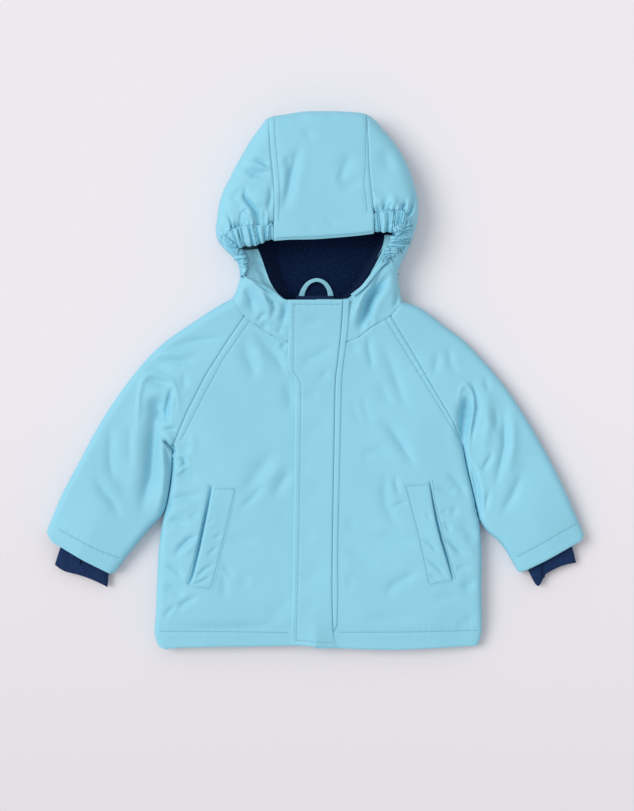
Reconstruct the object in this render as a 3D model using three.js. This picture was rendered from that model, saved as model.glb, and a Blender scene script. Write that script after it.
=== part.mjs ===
// Kids raincoat with a hood, laid flat with its front up.
// Millimetres. X runs to the wearer's left, Y toward the hood, Z up from the surface it lies on.
// The top layer and the bottom layer are one pillow form over the coat's outline, and every piece
// is cut from that form along its seams.
import * as THREE from 'three';

// Driving sizes
const CLOTH = 2.2; // coated shell with its bonded fleece backing
const TURNED_EDGE = 3.6; // casing: two layers round an elastic
const FACING = 1.5;
const FLEECE = 1.6;
const KNIT = 2;
const SEAM = 0.35; // from each piece's edge to the seam line
const ON_TOP = 0.6; // under a piece that lies on a panel
const LYING = 0.3; // under a piece that lies on another

// The pillow form at the hem and at the hood: top height, height of the folded edge, its rounding
const BODY = { top: 22, mid: 10, round: 13 };
const HOOD = { top: 45, mid: 15, round: 26 };
const HOOD_START_Y = 35;
const HOOD_FULL_Y = 150;
const DOME_RISE = 3;
const DOME_REACH = 45;
const HEM_DROP = 4;
const HEM_REACH = 26;
const UNDER_ROUND = 1.2; // rounding of the bottom layer's edge, for each mm of its height
const FLAP_CLEAR_X = 38; // no fold reaches the strip under the storm flap
const FLAP_BLEND_X = 52;
const FLAP_END_Y = 95; // folds cross the middle again from here up

const COLOURS = {
  coat: 0x8acbe1,
  fleece: 0x0b1f3f,
  knit: 0x183561,
};

// Seam and edge lines, each row x, y
const SIDE_RIGHT = [
  [-166, -76], [-167.5, -106.5], [-172, -137], [-178, -162.5], [-183, -195.5],
  [-185, -233], [-186.5, -270.5], [-188, -296], [-184, -310],
];
const SIDE_LEFT = [
  [173, -76], [179, -106.5], [186, -135.5], [192, -162.5], [195, -195.5],
  [195, -244.5], [195, -293.5], [191, -310],
];
const HEM_RIGHT = [[-184, -310], [-176.5, -314], [-158, -312], [-111, -311], [-64.5, -310.5], [-27, -309.5]];
const HEM_LEFT = [[191, -310], [165, -311], [141.5, -312.5], [99.5, -314.5], [60, -314], [27, -312.5]];
const RAGLAN_RIGHT = [[-82, 75], [-100, 49.5], [-127, 7.5], [-149.5, -37], [-166, -76]];
const RAGLAN_LEFT = [[88, 75], [113, 34.5], [142.5, -16], [161, -47.5], [173, -76]];
const NECK_RIGHT = [[-97, 96.5], [-82, 75], [-67.5, 64.5], [-50.5, 53], [-31.5, 45.5], [0, 43.5]];
const NECK_LEFT = [[102.5, 93], [88, 75], [66.5, 63], [51.5, 51], [37, 45.5], [0, 43.5]];
const NECK_BACK = [[-97, 96.5], [-84, 97.4], [-47, 100], [0, 101], [62, 100], [90, 95.2], [102.5, 93]];
const OUTER_RIGHT = [
  [-97, 96.5], [-117, 85.5], [-146, 66.5], [-173, 48], [-194, 29], [-217.5, 1],
  [-237.5, -27], [-255, -55], [-275, -92.5], [-295, -130], [-314.5, -176],
];
const OUTER_LEFT = [
  [102.5, 93], [123, 85.5], [148.5, 66.5], [173, 48], [192, 29], [216.5, 1],
  [236.5, -27], [254, -55], [275, -92.5], [293.5, -130], [315, -180],
];
const INNER_RIGHT = [
  [-166, -76], [-167.5, -106.5], [-172, -137], [-178, -155.5], [-193, -172], [-215.5, -199.5], [-235.5, -225],
];
const INNER_LEFT = [
  [173, -76], [179, -106.5], [186, -135.5], [190.5, -158], [201, -175.5], [216.5, -189.5], [238.5, -224],
];
const WRIST_RIGHT = [[-314.5, -176], [-307.5, -188.5], [-298.5, -193.5], [-270.5, -210], [-241, -225], [-235.5, -225]];
const WRIST_LEFT = [[315, -180], [311.5, -187], [300.5, -193], [269, -210.5], [249, -220.5], [238.5, -224]];
const CROWN = [[-55, 306.5], [-35, 310.5], [-14, 314], [8, 314.5], [35, 314], [59.5, 311]];

// Hood sides, from the crown to the neck seam. Each row: fold x, y, inner edge on top x, y
const HOOD_SIDE_RIGHT = [
  [-55, 306.5, -52.5, 283], [-64.5, 295, -51, 261], [-75, 281, -49, 240], [-85.5, 263, -47.5, 219],
  [-93.5, 249, -47, 200], [-100.5, 235, -48, 179.5], [-106.5, 223.5, -55, 179.5], [-111, 210.5, -66.5, 179.5],
  [-113.5, 197.5, -79.5, 179], [-115, 186, -92.5, 176.5], [-116, 175.5, -104, 169.5], [-114, 165, -109, 161.5],
  [-107.5, 155.5, -103, 153.5], [-99, 147.5, -95, 145], [-92, 140.5, -88.5, 138], [-89, 132, -86, 130.5],
  [-88, 125, -85.5, 122], [-88, 119.5, -75, 117], [-89.5, 113.5, -61, 110], [-91.5, 108, -45.5, 100],
  [-93, 103.5, -30.5, 93], [-94.5, 100.5, 0, 93], [-96, 98.5, 0, 69], [-97, 96.5, 0, 43.5],
];
const HOOD_SIDE_LEFT = [
  [59.5, 311, 61, 285.5], [70, 304, 62, 263], [82, 290, 63, 242], [92.5, 277.5, 65, 221],
  [102, 263, 66.5, 205], [109, 249, 68, 192], [113.5, 236.5, 73.5, 194], [117, 224.5, 85.5, 196],
  [119.5, 214, 96, 197], [120.5, 205, 104, 194], [120.5, 195.5, 109, 185], [119.5, 185, 111, 173],
  [116, 173, 110, 164.5], [113, 164, 106.5, 158], [110, 157, 99.5, 152], [106.5, 148.5, 91.5, 148],
  [103, 142, 84, 140.5], [99.5, 134.5, 76, 133.5], [97, 127.5, 65.5, 120.5], [97, 119.5, 54.5, 107.5],
  [98.5, 110, 42, 98.5], [99.5, 103, 31.5, 94], [100.5, 98.5, 0, 93], [102, 95.5, 0, 69], [102.5, 93, 0, 43.5],
];
const SEAM_ROWS = 6; // rows that meet the hood's centre
const NECK_ROWS = 5; // hood side rows that bend toward the curve of the neck seam

// Casing along the hood's opening. Each row: stitched line x, y, free edge x, y
const CASING_RIGHT = [
  [-48, 179.5, -48, 161], [-55, 179.5, -54.5, 161.5], [-66.5, 179.5, -64, 157.5], [-79.5, 179, -75, 155],
  [-92.5, 176.5, -84, 154.5], [-104, 169.5, -91.5, 153.5], [-109, 161.5, -93, 152], [-103, 153.5, -89, 149.5],
  [-95, 145, -81.5, 143.5], [-88.5, 138, -79.5, 137], [-86, 130.5, -80.5, 129.5], [-85.5, 122, -83, 120.5],
];
const CASING_LEFT = [
  [68, 192, 68, 169.5], [73.5, 194, 73.5, 171.5], [85.5, 196, 85.5, 171], [96, 197, 93.5, 173],
  [104, 194, 99, 174.5], [109, 185, 100.5, 173], [111, 173, 100.5, 169.5], [110, 164.5, 97, 164],
  [106.5, 158, 93.5, 160], [99.5, 152, 89, 156.5], [91.5, 148, 83, 152.5], [84, 140.5, 76, 148.5],
  [76, 133.5, 71, 141.5], [65.5, 120.5, 59.5, 124], [54.5, 107.5, 51, 109.5],
];
const CASING_BRIM = [
  [-48, 179.5, -48, 161], [-29, 182, -29, 162.5], [-3.5, 185.5, -3.5, 163],
  [24.5, 187, 24.5, 165], [47, 188, 47, 167], [68, 192, 68, 169.5],
];
const GATHERS_RIGHT = { count: 10, from: 2, to: 11, height: 1.5 };
const GATHERS_LEFT = { count: 11, from: 1, to: 13, height: 1.5 };
const GATHER_STEPS = 4; // sections to each gather

// Facing inside the opening. Each row: upper edge x, y, lower edge x, y
const FACING_RIGHT = [
  [-82, 151, -66.5, 153.5], [-77, 144, -62.5, 144], [-76, 135.5, -58.5, 132],
  [-77, 126.5, -55, 121.5], [-73.5, 117.5, -51, 113], [-61, 108.5, -46, 105], [-47, 99.5, -40, 97.5],
];
const FACING_LOW = 16;
const FACING_DROP = 7.2; // from the top form to the facing's upper edge

// Fleece in the back of the hood, from the neck up. Each row: right edge x, y, left edge x, y,
// height of the right wall, height of the left wall
const LINING = [
  [-40, 96.5, 35, 96, 8, 12], [-46, 105, 44.5, 102, 10, 18], [-51, 113, 52.5, 111, 10, 20],
  [-55, 121.5, 62, 127.5, 10, 22], [-58.5, 132, 71.5, 142.5, 10, 22], [-62.5, 144, 80.5, 158, 9, 20],
  [-66.5, 156, 90, 172, 8, 14], [-71, 174, 91, 186, 6, 8], [-74, 198, 89, 205, 5, 6], [-74, 228, 86, 230, 5, 5],
];
const LINING_WALL_RIGHT = 20;
const LINING_WALL_LEFT = 10;

// Storm flap and the pressed band along its sewn side. Each row: left edge x, y, right edge x, y
const FLAP = [
  [-31, 92.5, 32.2, 92.5], [-30.5, 59.5, 30.2, 59.5], [-32, 17.5, 26.2, 22], [-24, 0, 23.7, 1],
  [-23.5, -37.5, 22.7, -37.5], [-25.5, -186, 20.2, -186], [-26.5, -249, 19.7, -249],
  [-28.5, -291.5, 21.2, -291.5], [-27, -308.5, 25.7, -311.5],
];
const BAND = [
  [32.8, 92.5, 40, 92.5], [30.8, 59.5, 38, 59.5], [26.8, 22, 32.5, 17.5], [24.3, 1, 31, 0],
  [23.3, -37.5, 30, -37.5], [20.8, -186, 26.5, -186], [20.3, -249, 26.5, -249], [21.6, -291.5, 25.5, -284.5],
];
const BAND_CLOTH = 1.4;

// Pocket welts, corners in order round each: top at the slit, top, bottom, bottom at the slit
const WELT_RIGHT = [[-120, -124], [-93, -124], [-121, -242], [-148, -235.5]];
const WELT_LEFT = [[133.5, -120], [105.5, -121.5], [133, -239.5], [160, -233.5]];

const LOOP = [[-17, 96], [-15, 105], [-8, 113.5], [2, 117.5], [12, 114], [18.5, 106], [21, 96]];
const LOOP_WIDTH = 6.5;
const LABEL = { width: 44, length: 6, thick: 0.8, x: 0, y: 97 };

// Knit inner cuffs, across the wrist. Each row: start inside the sleeve x, y, free end x, y
const CUFF_RIGHT = [
  [-291.5, -172, -305.5, -215.5], [-279.5, -179, -293.5, -223], [-265.5, -187, -276, -227.5],
  [-251.5, -195.5, -258.5, -234], [-240, -201, -243.5, -241.5],
];
const CUFF_LEFT = [
  [296, -172, 306.5, -213], [285.5, -178, 290, -216.5], [274, -183.5, 271, -226], [264.5, -188.5, 267, -233],
  [255, -194, 260.5, -240], [245.5, -199, 250.5, -222.5],
];
const CUFF_TOP = 12.5;
const CUFF_DROP = 1.2; // the free end hangs lower by this

// Folds of the top layer. Each row: from x, y, to x, y, half width, height
const FOLDS = [
  [-191, -19, -193, -56, 8, -4], [-193, -56, -198, -105, 8, -3.5], [-180, -61, -170, -96, 7, -4],
  [-203, -3, -168, -6, 9, -3], [166, -14, 173, -69, 9, -6], [187, -23, 183, -68, 7, -3],
  [223, -23, 216, -100, 10, -3], [-84, 54, -74, 14, 8, -2.5], [-67, 35, -40, -10, 9, -3.5],
  [66, 55, 121, -105, 9, -2.5], [72, -43, 113, -105, 9, -2], [-80, 252, -47, 240, 10, -4.5],
  [-15, 284, -30, 192, 11, -4], [38, 252, 26, 226, 10, -4], [26, 226, 57, 224, 9, -3],
  [90, 122, 62, 89, 9, -5], [62, 89, 52, 55, 8, -4], [-40, 86, -42, 62, 7, -3],
];

const SLOPE_STEP = 1; // over which a slope of the top layer is measured
const LINE_STEP = 6; // pieces of the lines that distances are measured from

const mix = (a, b, t) => a + (b - a) * t;
const clamp = (value, low, high) => Math.min(high, Math.max(low, value));
const smooth = (low, high, value) => THREE.MathUtils.smoothstep(value, low, high);
const reversed = (list) => [...list].reverse();

// Lines as functions of a share from 0 to 1, by length
function line(points) {
  const marks = [0];
  for (let i = 1; i < points.length; i++) {
    const [x0, y0] = points[i - 1];
    const [x1, y1] = points[i];
    marks.push(marks[i - 1] + Math.hypot(x1 - x0, y1 - y0));
  }
  const length = marks[marks.length - 1];
  const at = (share) => {
    const along = clamp(share, 0, 1) * length;
    let i = 1;
    while (i < points.length - 1 && marks[i] < along) i++;
    const t = (along - marks[i - 1]) / (marks[i] - marks[i - 1]);
    return [mix(points[i - 1][0], points[i][0], t), mix(points[i - 1][1], points[i][1], t)];
  };
  return { at, length };
}

// The points of a smooth curve through a few given ones
function rounded(points) {
  const path = new THREE.CatmullRomCurve3(
    points.map(([x, y]) => new THREE.Vector3(x, y, 0)),
    false,
    'centripetal',
  );
  return path.getPoints(points.length * 5).map((p) => [p.x, p.y]);
}

const curve = (points) => line(rounded(points));

// Row of a table at a fractional place
function tableRow(table, place) {
  const i = clamp(Math.floor(place), 0, table.length - 2);
  return table[i].map((value, column) => mix(value, table[i + 1][column], place - i));
}

// Distance from a point to the nearest of some lines, with the direction away from it
function measureFrom(lines) {
  const pieces = [];
  for (const { at, length } of lines) {
    const count = Math.ceil(length / LINE_STEP);
    for (let i = 0; i < count; i++) pieces.push([...at(i / count), ...at((i + 1) / count)]);
  }
  return (x, y) => {
    let best = Infinity;
    let awayX = 0;
    let awayY = 0;
    for (const [x0, y0, x1, y1] of pieces) {
      const t = clamp(((x - x0) * (x1 - x0) + (y - y0) * (y1 - y0)) / ((x1 - x0) ** 2 + (y1 - y0) ** 2), 0, 1);
      const dx = x - mix(x0, x1, t);
      const dy = y - mix(y0, y1, t);
      const d = Math.hypot(dx, dy);
      if (d < best) {
        best = d;
        awayX = dx;
        awayY = dy;
      }
    }
    const scale = best > 0 ? 1 / best : 0;
    return { distance: best, x: awayX * scale, y: awayY * scale };
  };
}

const sideRight = curve(SIDE_RIGHT);
const sideLeft = curve(SIDE_LEFT);
const outerRight = curve(OUTER_RIGHT);
const outerLeft = curve(OUTER_LEFT);
const innerRight = curve(INNER_RIGHT);
const innerLeft = curve(INNER_LEFT);
const crown = line(CROWN);
const hoodFold = curve([
  ...reversed(HOOD_SIDE_RIGHT.map(([x, y]) => [x, y])),
  ...CROWN.slice(1, -1),
  ...HOOD_SIDE_LEFT.map(([x, y]) => [x, y]),
]);
const fromFold = measureFrom([
  sideRight, sideLeft, outerRight, outerLeft, innerRight, innerLeft, hoodFold,
]);
const fromOpenEdge = measureFrom([line(HEM_RIGHT), line(HEM_LEFT), line(WRIST_RIGHT), line(WRIST_LEFT)]);

function foldHeight(x, y) {
  const clear = smooth(FLAP_CLEAR_X, FLAP_BLEND_X, Math.abs(x)) + smooth(FLAP_END_Y, HOOD_FULL_Y, y);
  let height = 0;
  for (const [x0, y0, x1, y1, halfWidth, depth] of FOLDS) {
    const t = clamp(((x - x0) * (x1 - x0) + (y - y0) * (y1 - y0)) / ((x1 - x0) ** 2 + (y1 - y0) ** 2), 0, 1);
    const away = Math.hypot(x - mix(x0, x1, t), y - mix(y0, y1, t)) / halfWidth;
    height += depth * Math.exp(-away * away);
  }
  return height * Math.min(1, clear);
}

function topHeight(x, y) {
  const lift = smooth(HOOD_START_Y, HOOD_FULL_Y, y);
  const dome = DOME_RISE * (1 - Math.exp(-fromFold(x, y).distance / DOME_REACH));
  const edge = fromOpenEdge(x, y).distance / HEM_REACH;
  return mix(BODY.top, HOOD.top, lift) + dome - HEM_DROP * Math.exp(-edge * edge) + foldHeight(x, y);
}

// A point of the outer surface with its normal. side is 1 for the top layer and -1 for the bottom
// one, and seam lifts a layer's edge from the middle of the folded edge.
function skin(x, y, side, seam = 0) {
  const lift = smooth(HOOD_START_Y, HOOD_FULL_Y, y);
  const mid = mix(BODY.mid, HOOD.mid, lift);
  const fold = fromFold(x, y);
  const rise = (side > 0 ? topHeight(x, y) - mid : mid) - seam;
  const round = side > 0 ? mix(BODY.round, HOOD.round, lift) : mid * UNDER_ROUND;
  const inward = clamp((fold.distance - SEAM) / round, 0, 1);
  const across = 1 - inward;
  const up = Math.sqrt(1 - across * across);
  const normal = new THREE.Vector3((-fold.x * across) / round, (-fold.y * across) / round, (side * up) / rise);
  if (side > 0) {
    const h = SLOPE_STEP / 2;
    normal.x -= (up / rise) * ((topHeight(x + h, y) - topHeight(x - h, y)) / SLOPE_STEP);
    normal.y -= (up / rise) * ((topHeight(x, y + h) - topHeight(x, y - h)) / SLOPE_STEP);
  }
  return { p: new THREE.Vector3(x, y, mid + side * (seam + rise * up)), n: normal.normalize() };
}

const raised = ({ p, n }, distance) => ({ p: p.clone().addScaledVector(n, distance), n });

// A closed wall from rows of points with normals, its thickness measured inward. A ring joins the
// ends of each row. Cells before column turned are split along their other diagonal.
function wall(rows, thickness, { ring = false, turned = 0 } = {}) {
  const rowCount = rows.length;
  const width = rows[0].length;
  const outer = rows.flat().map(({ p }) => p);
  const inner = rows.flat().map(({ p, n }) => p.clone().addScaledVector(n, -thickness));
  const shift = outer.length;
  const index = [];
  const cell = (a, b, c, d, turn) => {
    if (turn) index.push(a, b, c, a, c, d);
    else index.push(a, b, d, b, c, d);
  };
  const at = (i, j) => i * width + (j % width);
  const last = ring ? width : width - 1;
  for (let i = 0; i < rowCount - 1; i++) {
    for (let j = 0; j < last; j++) {
      const corners = [at(i, j), at(i, j + 1), at(i + 1, j + 1), at(i + 1, j)];
      cell(...corners, j < turned);
      const [a, b, c, d] = corners.map((k) => k + shift);
      if (j < turned) index.push(a, c, b, a, d, c);
      else index.push(a, d, b, b, d, c);
    }
  }
  for (let j = 0; j < last; j++) {
    cell(at(0, j + 1), at(0, j), at(0, j) + shift, at(0, j + 1) + shift);
    const end = rowCount - 1;
    cell(at(end, j), at(end, j + 1), at(end, j + 1) + shift, at(end, j) + shift);
  }
  if (!ring) {
    for (let i = 0; i < rowCount - 1; i++) {
      cell(at(i, 0), at(i + 1, 0), at(i + 1, 0) + shift, at(i, 0) + shift);
      const end = width - 1;
      cell(at(i + 1, end), at(i, end), at(i, end) + shift, at(i + 1, end) + shift);
    }
  }
  return solid([...outer, ...inner], index);
}

// Geometry from points and triangles, turned to face outward
function solid(points, index) {
  let volume = 0;
  for (let i = 0; i < index.length; i += 3) {
    const [a, b, c] = [points[index[i]], points[index[i + 1]], points[index[i + 2]]];
    volume += a.dot(b.clone().cross(c));
  }
  for (let i = 0; volume < 0 && i < index.length; i += 3) {
    [index[i + 1], index[i + 2]] = [index[i + 2], index[i + 1]];
  }
  const geometry = new THREE.BufferGeometry();
  geometry.setAttribute('position', new THREE.Float32BufferAttribute(points.flatMap((p) => [p.x, p.y, p.z]), 3));
  geometry.setIndex(index);
  geometry.computeVertexNormals();
  return geometry;
}

// Normals of a grid of points by its own neighbours, upward
function withNormals(grid) {
  return grid.map((row, i) =>
    row.map((p, j) => {
      const along = grid[Math.min(i + 1, grid.length - 1)][j].clone().sub(grid[Math.max(i - 1, 0)][j]);
      const across = row[Math.min(j + 1, row.length - 1)].clone().sub(row[Math.max(j - 1, 0)]);
      const n = across.cross(along).normalize();
      return { p, n: n.z < 0 ? n.negate() : n };
    }),
  );
}

// How far a line strays from the straight one between its ends
function stray({ at }, share) {
  const [from, to, here] = [at(0), at(1), at(share)];
  return [0, 1].map((k) => here[k] - mix(from[k], to[k], share));
}

// Plan points of a four sided patch: straight rows between start and end, which bend toward the
// low and the high edge
function patch({ start, end, low, high }, shares, places) {
  return places.map((v) =>
    shares.map((u) => {
      const [a, b, lowStray, highStray] = [start.at(v), end.at(v), stray(low, u), stray(high, u)];
      return [0, 1].map((k) => mix(a[k], b[k], u) + (1 - v) ** 2 * lowStray[k] + v ** 3 * highStray[k]);
    }),
  );
}

// Shares from 0 to 1 that crowd toward chosen ends, kept off the seam lines
function spread(length, middle, nearStart, nearEnd) {
  const shares = [...nearStart.map((d) => d / length)];
  const first = shares[shares.length - 1];
  const lastShare = 1 - nearEnd[nearEnd.length - 1] / length;
  for (let i = 1; i < middle; i++) shares.push(mix(first, lastShare, i / middle));
  shares.push(...nearEnd.map((d) => 1 - d / length).reverse());
  return shares;
}

const FOLD_STEPS = [SEAM, 1.2, 3.6, 7.6, 13]; // distances that trace a rounded edge
const PLAIN = [SEAM];
const HEM_STEP = 12; // between the rows next to the hem
const ARMPIT_STEPS = [0, 1.5, 4.5, 9.5, 16]; // rows above the armpit
const BELOW_ARMPIT = 10; // from the last even row to the armpit
const joined = (...parts) => line(parts.flat());

// Rows between hem and neck: even up to the armpit, then crowded just above it
function bodyPlaces(length, armpit, evenBelow, evenAbove) {
  const places = [SEAM / length, HEM_STEP / length];
  const lastBelow = armpit - BELOW_ARMPIT;
  const firstAbove = armpit + ARMPIT_STEPS[ARMPIT_STEPS.length - 1];
  for (let i = 0; i < evenBelow; i++) places.push(mix(2 * HEM_STEP, lastBelow, i / (evenBelow - 1)) / length);
  for (const step of ARMPIT_STEPS) places.push((armpit + step) / length);
  for (let i = 1; i <= evenAbove; i++) places.push(mix(firstAbove, length - SEAM, i / evenAbove) / length);
  return places;
}

function front(side, raglan, hem, neck) {
  const armhole = joined(reversed(rounded(side)), reversed(raglan));
  const sideLength = curve(side).length;
  const centre = line([[0, hem[hem.length - 1][1]], [0, neck[neck.length - 1][1]]]);
  const low = line([...hem, centre.at(0)]);
  const high = line(neck.slice(1));
  const shares = spread(low.length, 9, FOLD_STEPS, PLAIN);
  const places = bodyPlaces(armhole.length, sideLength, 8, 7);
  const plan = patch({ start: armhole, end: centre, low, high }, shares, places);
  return wall(plan.map((row) => row.map(([x, y]) => skin(x, y, 1, SEAM))), CLOTH);
}

function back() {
  const neckPoint = NECK_BACK.slice(1, -1);
  const start = joined(reversed(rounded(SIDE_RIGHT)), [neckPoint[0]]);
  const end = joined(reversed(rounded(SIDE_LEFT)), [neckPoint[neckPoint.length - 1]]);
  const low = joined(HEM_RIGHT, reversed(HEM_LEFT));
  const high = line(neckPoint);
  const shares = spread(low.length, 8, FOLD_STEPS, FOLD_STEPS);
  const places = bodyPlaces(start.length, sideRight.length, 6, 5);
  const plan = patch({ start, end, low, high }, shares, places);
  return wall(plan.map((row) => row.map(([x, y]) => skin(x, y, -1, SEAM))), CLOTH);
}

const SLEEVE = { width: 150, length: 200, columns: 9, sections: 13 };

function sleeve(outerLine, innerLine, neck, raglan, wrist, backNeckPoint) {
  const high = line(wrist);
  const topEdge = joined(neck.slice(0, 1), raglan);
  const bottomEdge = line([neck[0], backNeckPoint, raglan[raglan.length - 1]]);
  const shares = spread(SLEEVE.width, SLEEVE.columns, FOLD_STEPS, FOLD_STEPS);
  const places = [SEAM / SLEEVE.length];
  for (let i = 1; i <= SLEEVE.sections; i++) places.push(i / SLEEVE.sections);
  const sides = { start: outerLine, end: innerLine, high };
  const top = patch({ ...sides, low: topEdge }, shares, places);
  const bottom = patch({ ...sides, low: bottomEdge }, shares, places);
  const rows = top.map((row, i) => [
    ...row.map(([x, y]) => skin(x, y, 1)),
    ...reversed(bottom[i].slice(1, -1)).map(([x, y]) => skin(x, y, -1)),
  ]);
  return wall(rows, CLOTH, { ring: true });
}

const TOP_SHARES = [0, 0.03, 0.1, 0.22, 0.4, 0.6, 0.8, 1];
const BOTTOM_SHARES = [0, 0.04, 0.15, 0.35, 0.65, 1];
const SIDE_END = 0.03; // how far the first and last rows of a hood side lie inside its table
const NECK_BEND = 1.5; // how late the rows bend toward the neck seam

// Hood side: from the seam under the hood, round the fold, to the seam, casing and opening on top
function hoodSide(table, neck, outward, underSeam) {
  const count = table.length - 1;
  const neckLine = line(neck);
  const under = line(underSeam);
  const rows = [];
  const places = [SIDE_END, ...Array.from({ length: count - 1 }, (_, i) => i + 1), count - SIDE_END];
  for (const place of places) {
    const [ax, ay, cx, cy] = tableRow(table, place);
    const endX = cx + outward * SEAM;
    const length = Math.hypot(endX - ax, cy - ay);
    const bend = Math.max(0, (place - (count - NECK_ROWS)) / NECK_ROWS) ** NECK_BEND;
    const top = TOP_SHARES.map((share) => {
      const u = mix(SEAM / length, 1 - SEAM / length, share);
      const [nx, ny] = neckLine.at(u);
      const chordX = mix(neck[0][0], neck[neck.length - 1][0], u);
      const chordY = mix(neck[0][1], neck[neck.length - 1][1], u);
      return skin(mix(ax, endX, u) + bend * (nx - chordX), mix(ay, cy, u) + bend * (ny - chordY), 1);
    });
    const [dx, dy] = under.at(place / count);
    const bottom = BOTTOM_SHARES.slice(1).map((u) => skin(mix(ax, dx + outward * SEAM, u), mix(ay, dy, u), -1));
    rows.push([...reversed(bottom), ...top]);
  }
  return wall(rows, CLOTH, { turned: BOTTOM_SHARES.length - 1 });
}

// Width of the hood's centre, and its lengths over the top and under it
const CENTRE = { width: 110, top: 125, under: 200 };
const CENTRE_TOP = [0.14, 0.28, 0.42, 0.56, 0.7, 0.8, 0.88, 0.94, 0.98];
const CENTRE_UNDER = [0.985, 0.94, 0.85, 0.6, 0.3];

// Hood centre: from the casing over the crown and down the back to the neck
function hoodCentre(underRight, underLeft) {
  const seamOn = (table) => table.slice(0, SEAM_ROWS).map(([, , x, y]) => [x, y]);
  const right = joined(reversed(seamOn(HOOD_SIDE_RIGHT)), [CROWN[0]]);
  const left = joined(reversed(seamOn(HOOD_SIDE_LEFT)), [CROWN[CROWN.length - 1]]);
  const casing = line(CASING_BRIM.map(([x, y]) => [x, y]));
  const backNeck = line([underRight[underRight.length - 1], [0, 101], underLeft[underLeft.length - 1]]);
  const shares = spread(CENTRE.width, 8, PLAIN, PLAIN);
  const topPlaces = [SEAM / CENTRE.top, ...CENTRE_TOP, 1 - SEAM / CENTRE.top];
  const bottomPlaces = [...CENTRE_UNDER, SEAM / CENTRE.under];
  const top = patch({ start: right, end: left, low: casing, high: crown }, shares, topPlaces);
  const underSides = { start: line(reversed(underRight)), end: line(reversed(underLeft)) };
  const bottom = patch({ ...underSides, low: backNeck, high: crown }, shares, bottomPlaces);
  const rows = [
    ...top.map((row) => row.map(([x, y]) => skin(x, y, 1))),
    ...bottom.map((row) => row.map(([x, y]) => skin(x, y, -1))),
  ];
  return wall(rows, CLOTH);
}

const CASING_END = 0.04; // how far the first and last rows of a casing lie inside its table
const PLAIN_STEPS = 10; // sections of the casing without gathers

// Casing strip along the opening, with its gathers
function casing(table, gathers) {
  const count = table.length - 1;
  const steps = gathers ? gathers.count * GATHER_STEPS : PLAIN_STEPS;
  const from = gathers ? gathers.from : 0;
  const to = gathers ? gathers.to : count;
  const places = [];
  for (let i = 0; i <= steps; i++) places.push(mix(from, to, i / steps));
  if (from > 0) places.unshift(0);
  if (to < count) places.push(count);
  places[0] = CASING_END;
  places[places.length - 1] = count - CASING_END;
  const rows = places.map((place) => {
    const [ox, oy, ix, iy] = tableRow(table, place);
    const length = Math.hypot(ix - ox, iy - oy);
    const turn = ((place - from) / (to - from)) * (gathers ? gathers.count : 0);
    const inside = place > from && place < to;
    return [0, 0.33, 0.67, 1].map((share) => {
      const u = Math.max(share, SEAM / length);
      const ripple = gathers && inside ? gathers.height * Math.sin(2 * Math.PI * turn) * (0.4 + 0.6 * share) : 0;
      return raised(skin(mix(ox, ix, u), mix(oy, iy, u), 1), ripple);
    });
  });
  return wall(rows, TURNED_EDGE);
}

function facing(table) {
  const grid = table.map(([mx, my, nx, ny]) => {
    const high = skin(mx, my, 1).p.z - FACING_DROP;
    return [0, 0.25, 0.5, 0.75, 1].map((u) => {
      const fall = u * u * (3 - 2 * u);
      return new THREE.Vector3(mix(mx, nx, u), mix(my, ny, u), mix(high, FACING_LOW, fall));
    });
  });
  return wall(withNormals(grid), FACING);
}

const LINING_SHARES = [0, 0.05, 0.11, 0.17, 0.25, 0.38, 0.5, 0.62, 0.75, 0.84, 0.9, 0.95, 1];

function hoodLining() {
  const grid = LINING.map(([rx, ry, lx, ly, rightWall, leftWall]) => {
    const width = Math.hypot(lx - rx, ly - ry);
    return LINING_SHARES.map((u) => {
      const fromRight = 1 - smooth(0, LINING_WALL_RIGHT, u * width);
      const fromLeft = 1 - smooth(0, LINING_WALL_LEFT, (1 - u) * width);
      const z = CLOTH + LYING + FLEECE + rightWall * fromRight + leftWall * fromLeft;
      return new THREE.Vector3(mix(rx, lx, u), mix(ry, ly, u), z);
    });
  });
  return wall(withNormals(grid), FLEECE);
}

// A strip that lies on the front, made from the front's points moved out
function strip(table, columns, thickness, perRow) {
  const rows = [];
  for (let i = 0; i <= (table.length - 1) * perRow; i++) {
    const [lx, ly, rx, ry] = tableRow(table, i / perRow);
    const row = [];
    for (let j = 0; j <= columns; j++) {
      row.push(raised(skin(mix(lx, rx, j / columns), mix(ly, ry, j / columns), 1), ON_TOP + thickness));
    }
    rows.push(row);
  }
  return wall(rows, thickness);
}

const welt = ([a, b, c, d]) => strip([[...a, ...b], [...d, ...c]], 2, CLOTH, 6);

const LOOP_STEPS = 16;
const LOOP_TANGENT = 0.02; // share of the loop over which its direction is taken

function hangingLoop() {
  const path = curve(LOOP);
  const z = CLOTH + LYING + FLEECE + LYING + CLOTH;
  const grid = [];
  for (let i = 0; i <= LOOP_STEPS; i++) {
    const share = i / LOOP_STEPS;
    const [x, y] = path.at(share);
    const [x0, y0] = path.at(share - LOOP_TANGENT);
    const [x1, y1] = path.at(share + LOOP_TANGENT);
    const length = Math.hypot(x1 - x0, y1 - y0);
    const sideX = (-(y1 - y0) / length) * (LOOP_WIDTH / 2);
    const sideY = ((x1 - x0) / length) * (LOOP_WIDTH / 2);
    grid.push([new THREE.Vector3(x - sideX, y - sideY, z), new THREE.Vector3(x + sideX, y + sideY, z)]);
  }
  return wall(withNormals(grid), CLOTH);
}

function neckLabel() {
  const geometry = new THREE.BoxGeometry(LABEL.width, LABEL.length, LABEL.thick);
  const lift = CLOTH + LYING + FLEECE + LYING + CLOTH + LYING + LABEL.thick / 2;
  return geometry.translate(LABEL.x, LABEL.y, lift);
}

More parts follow.
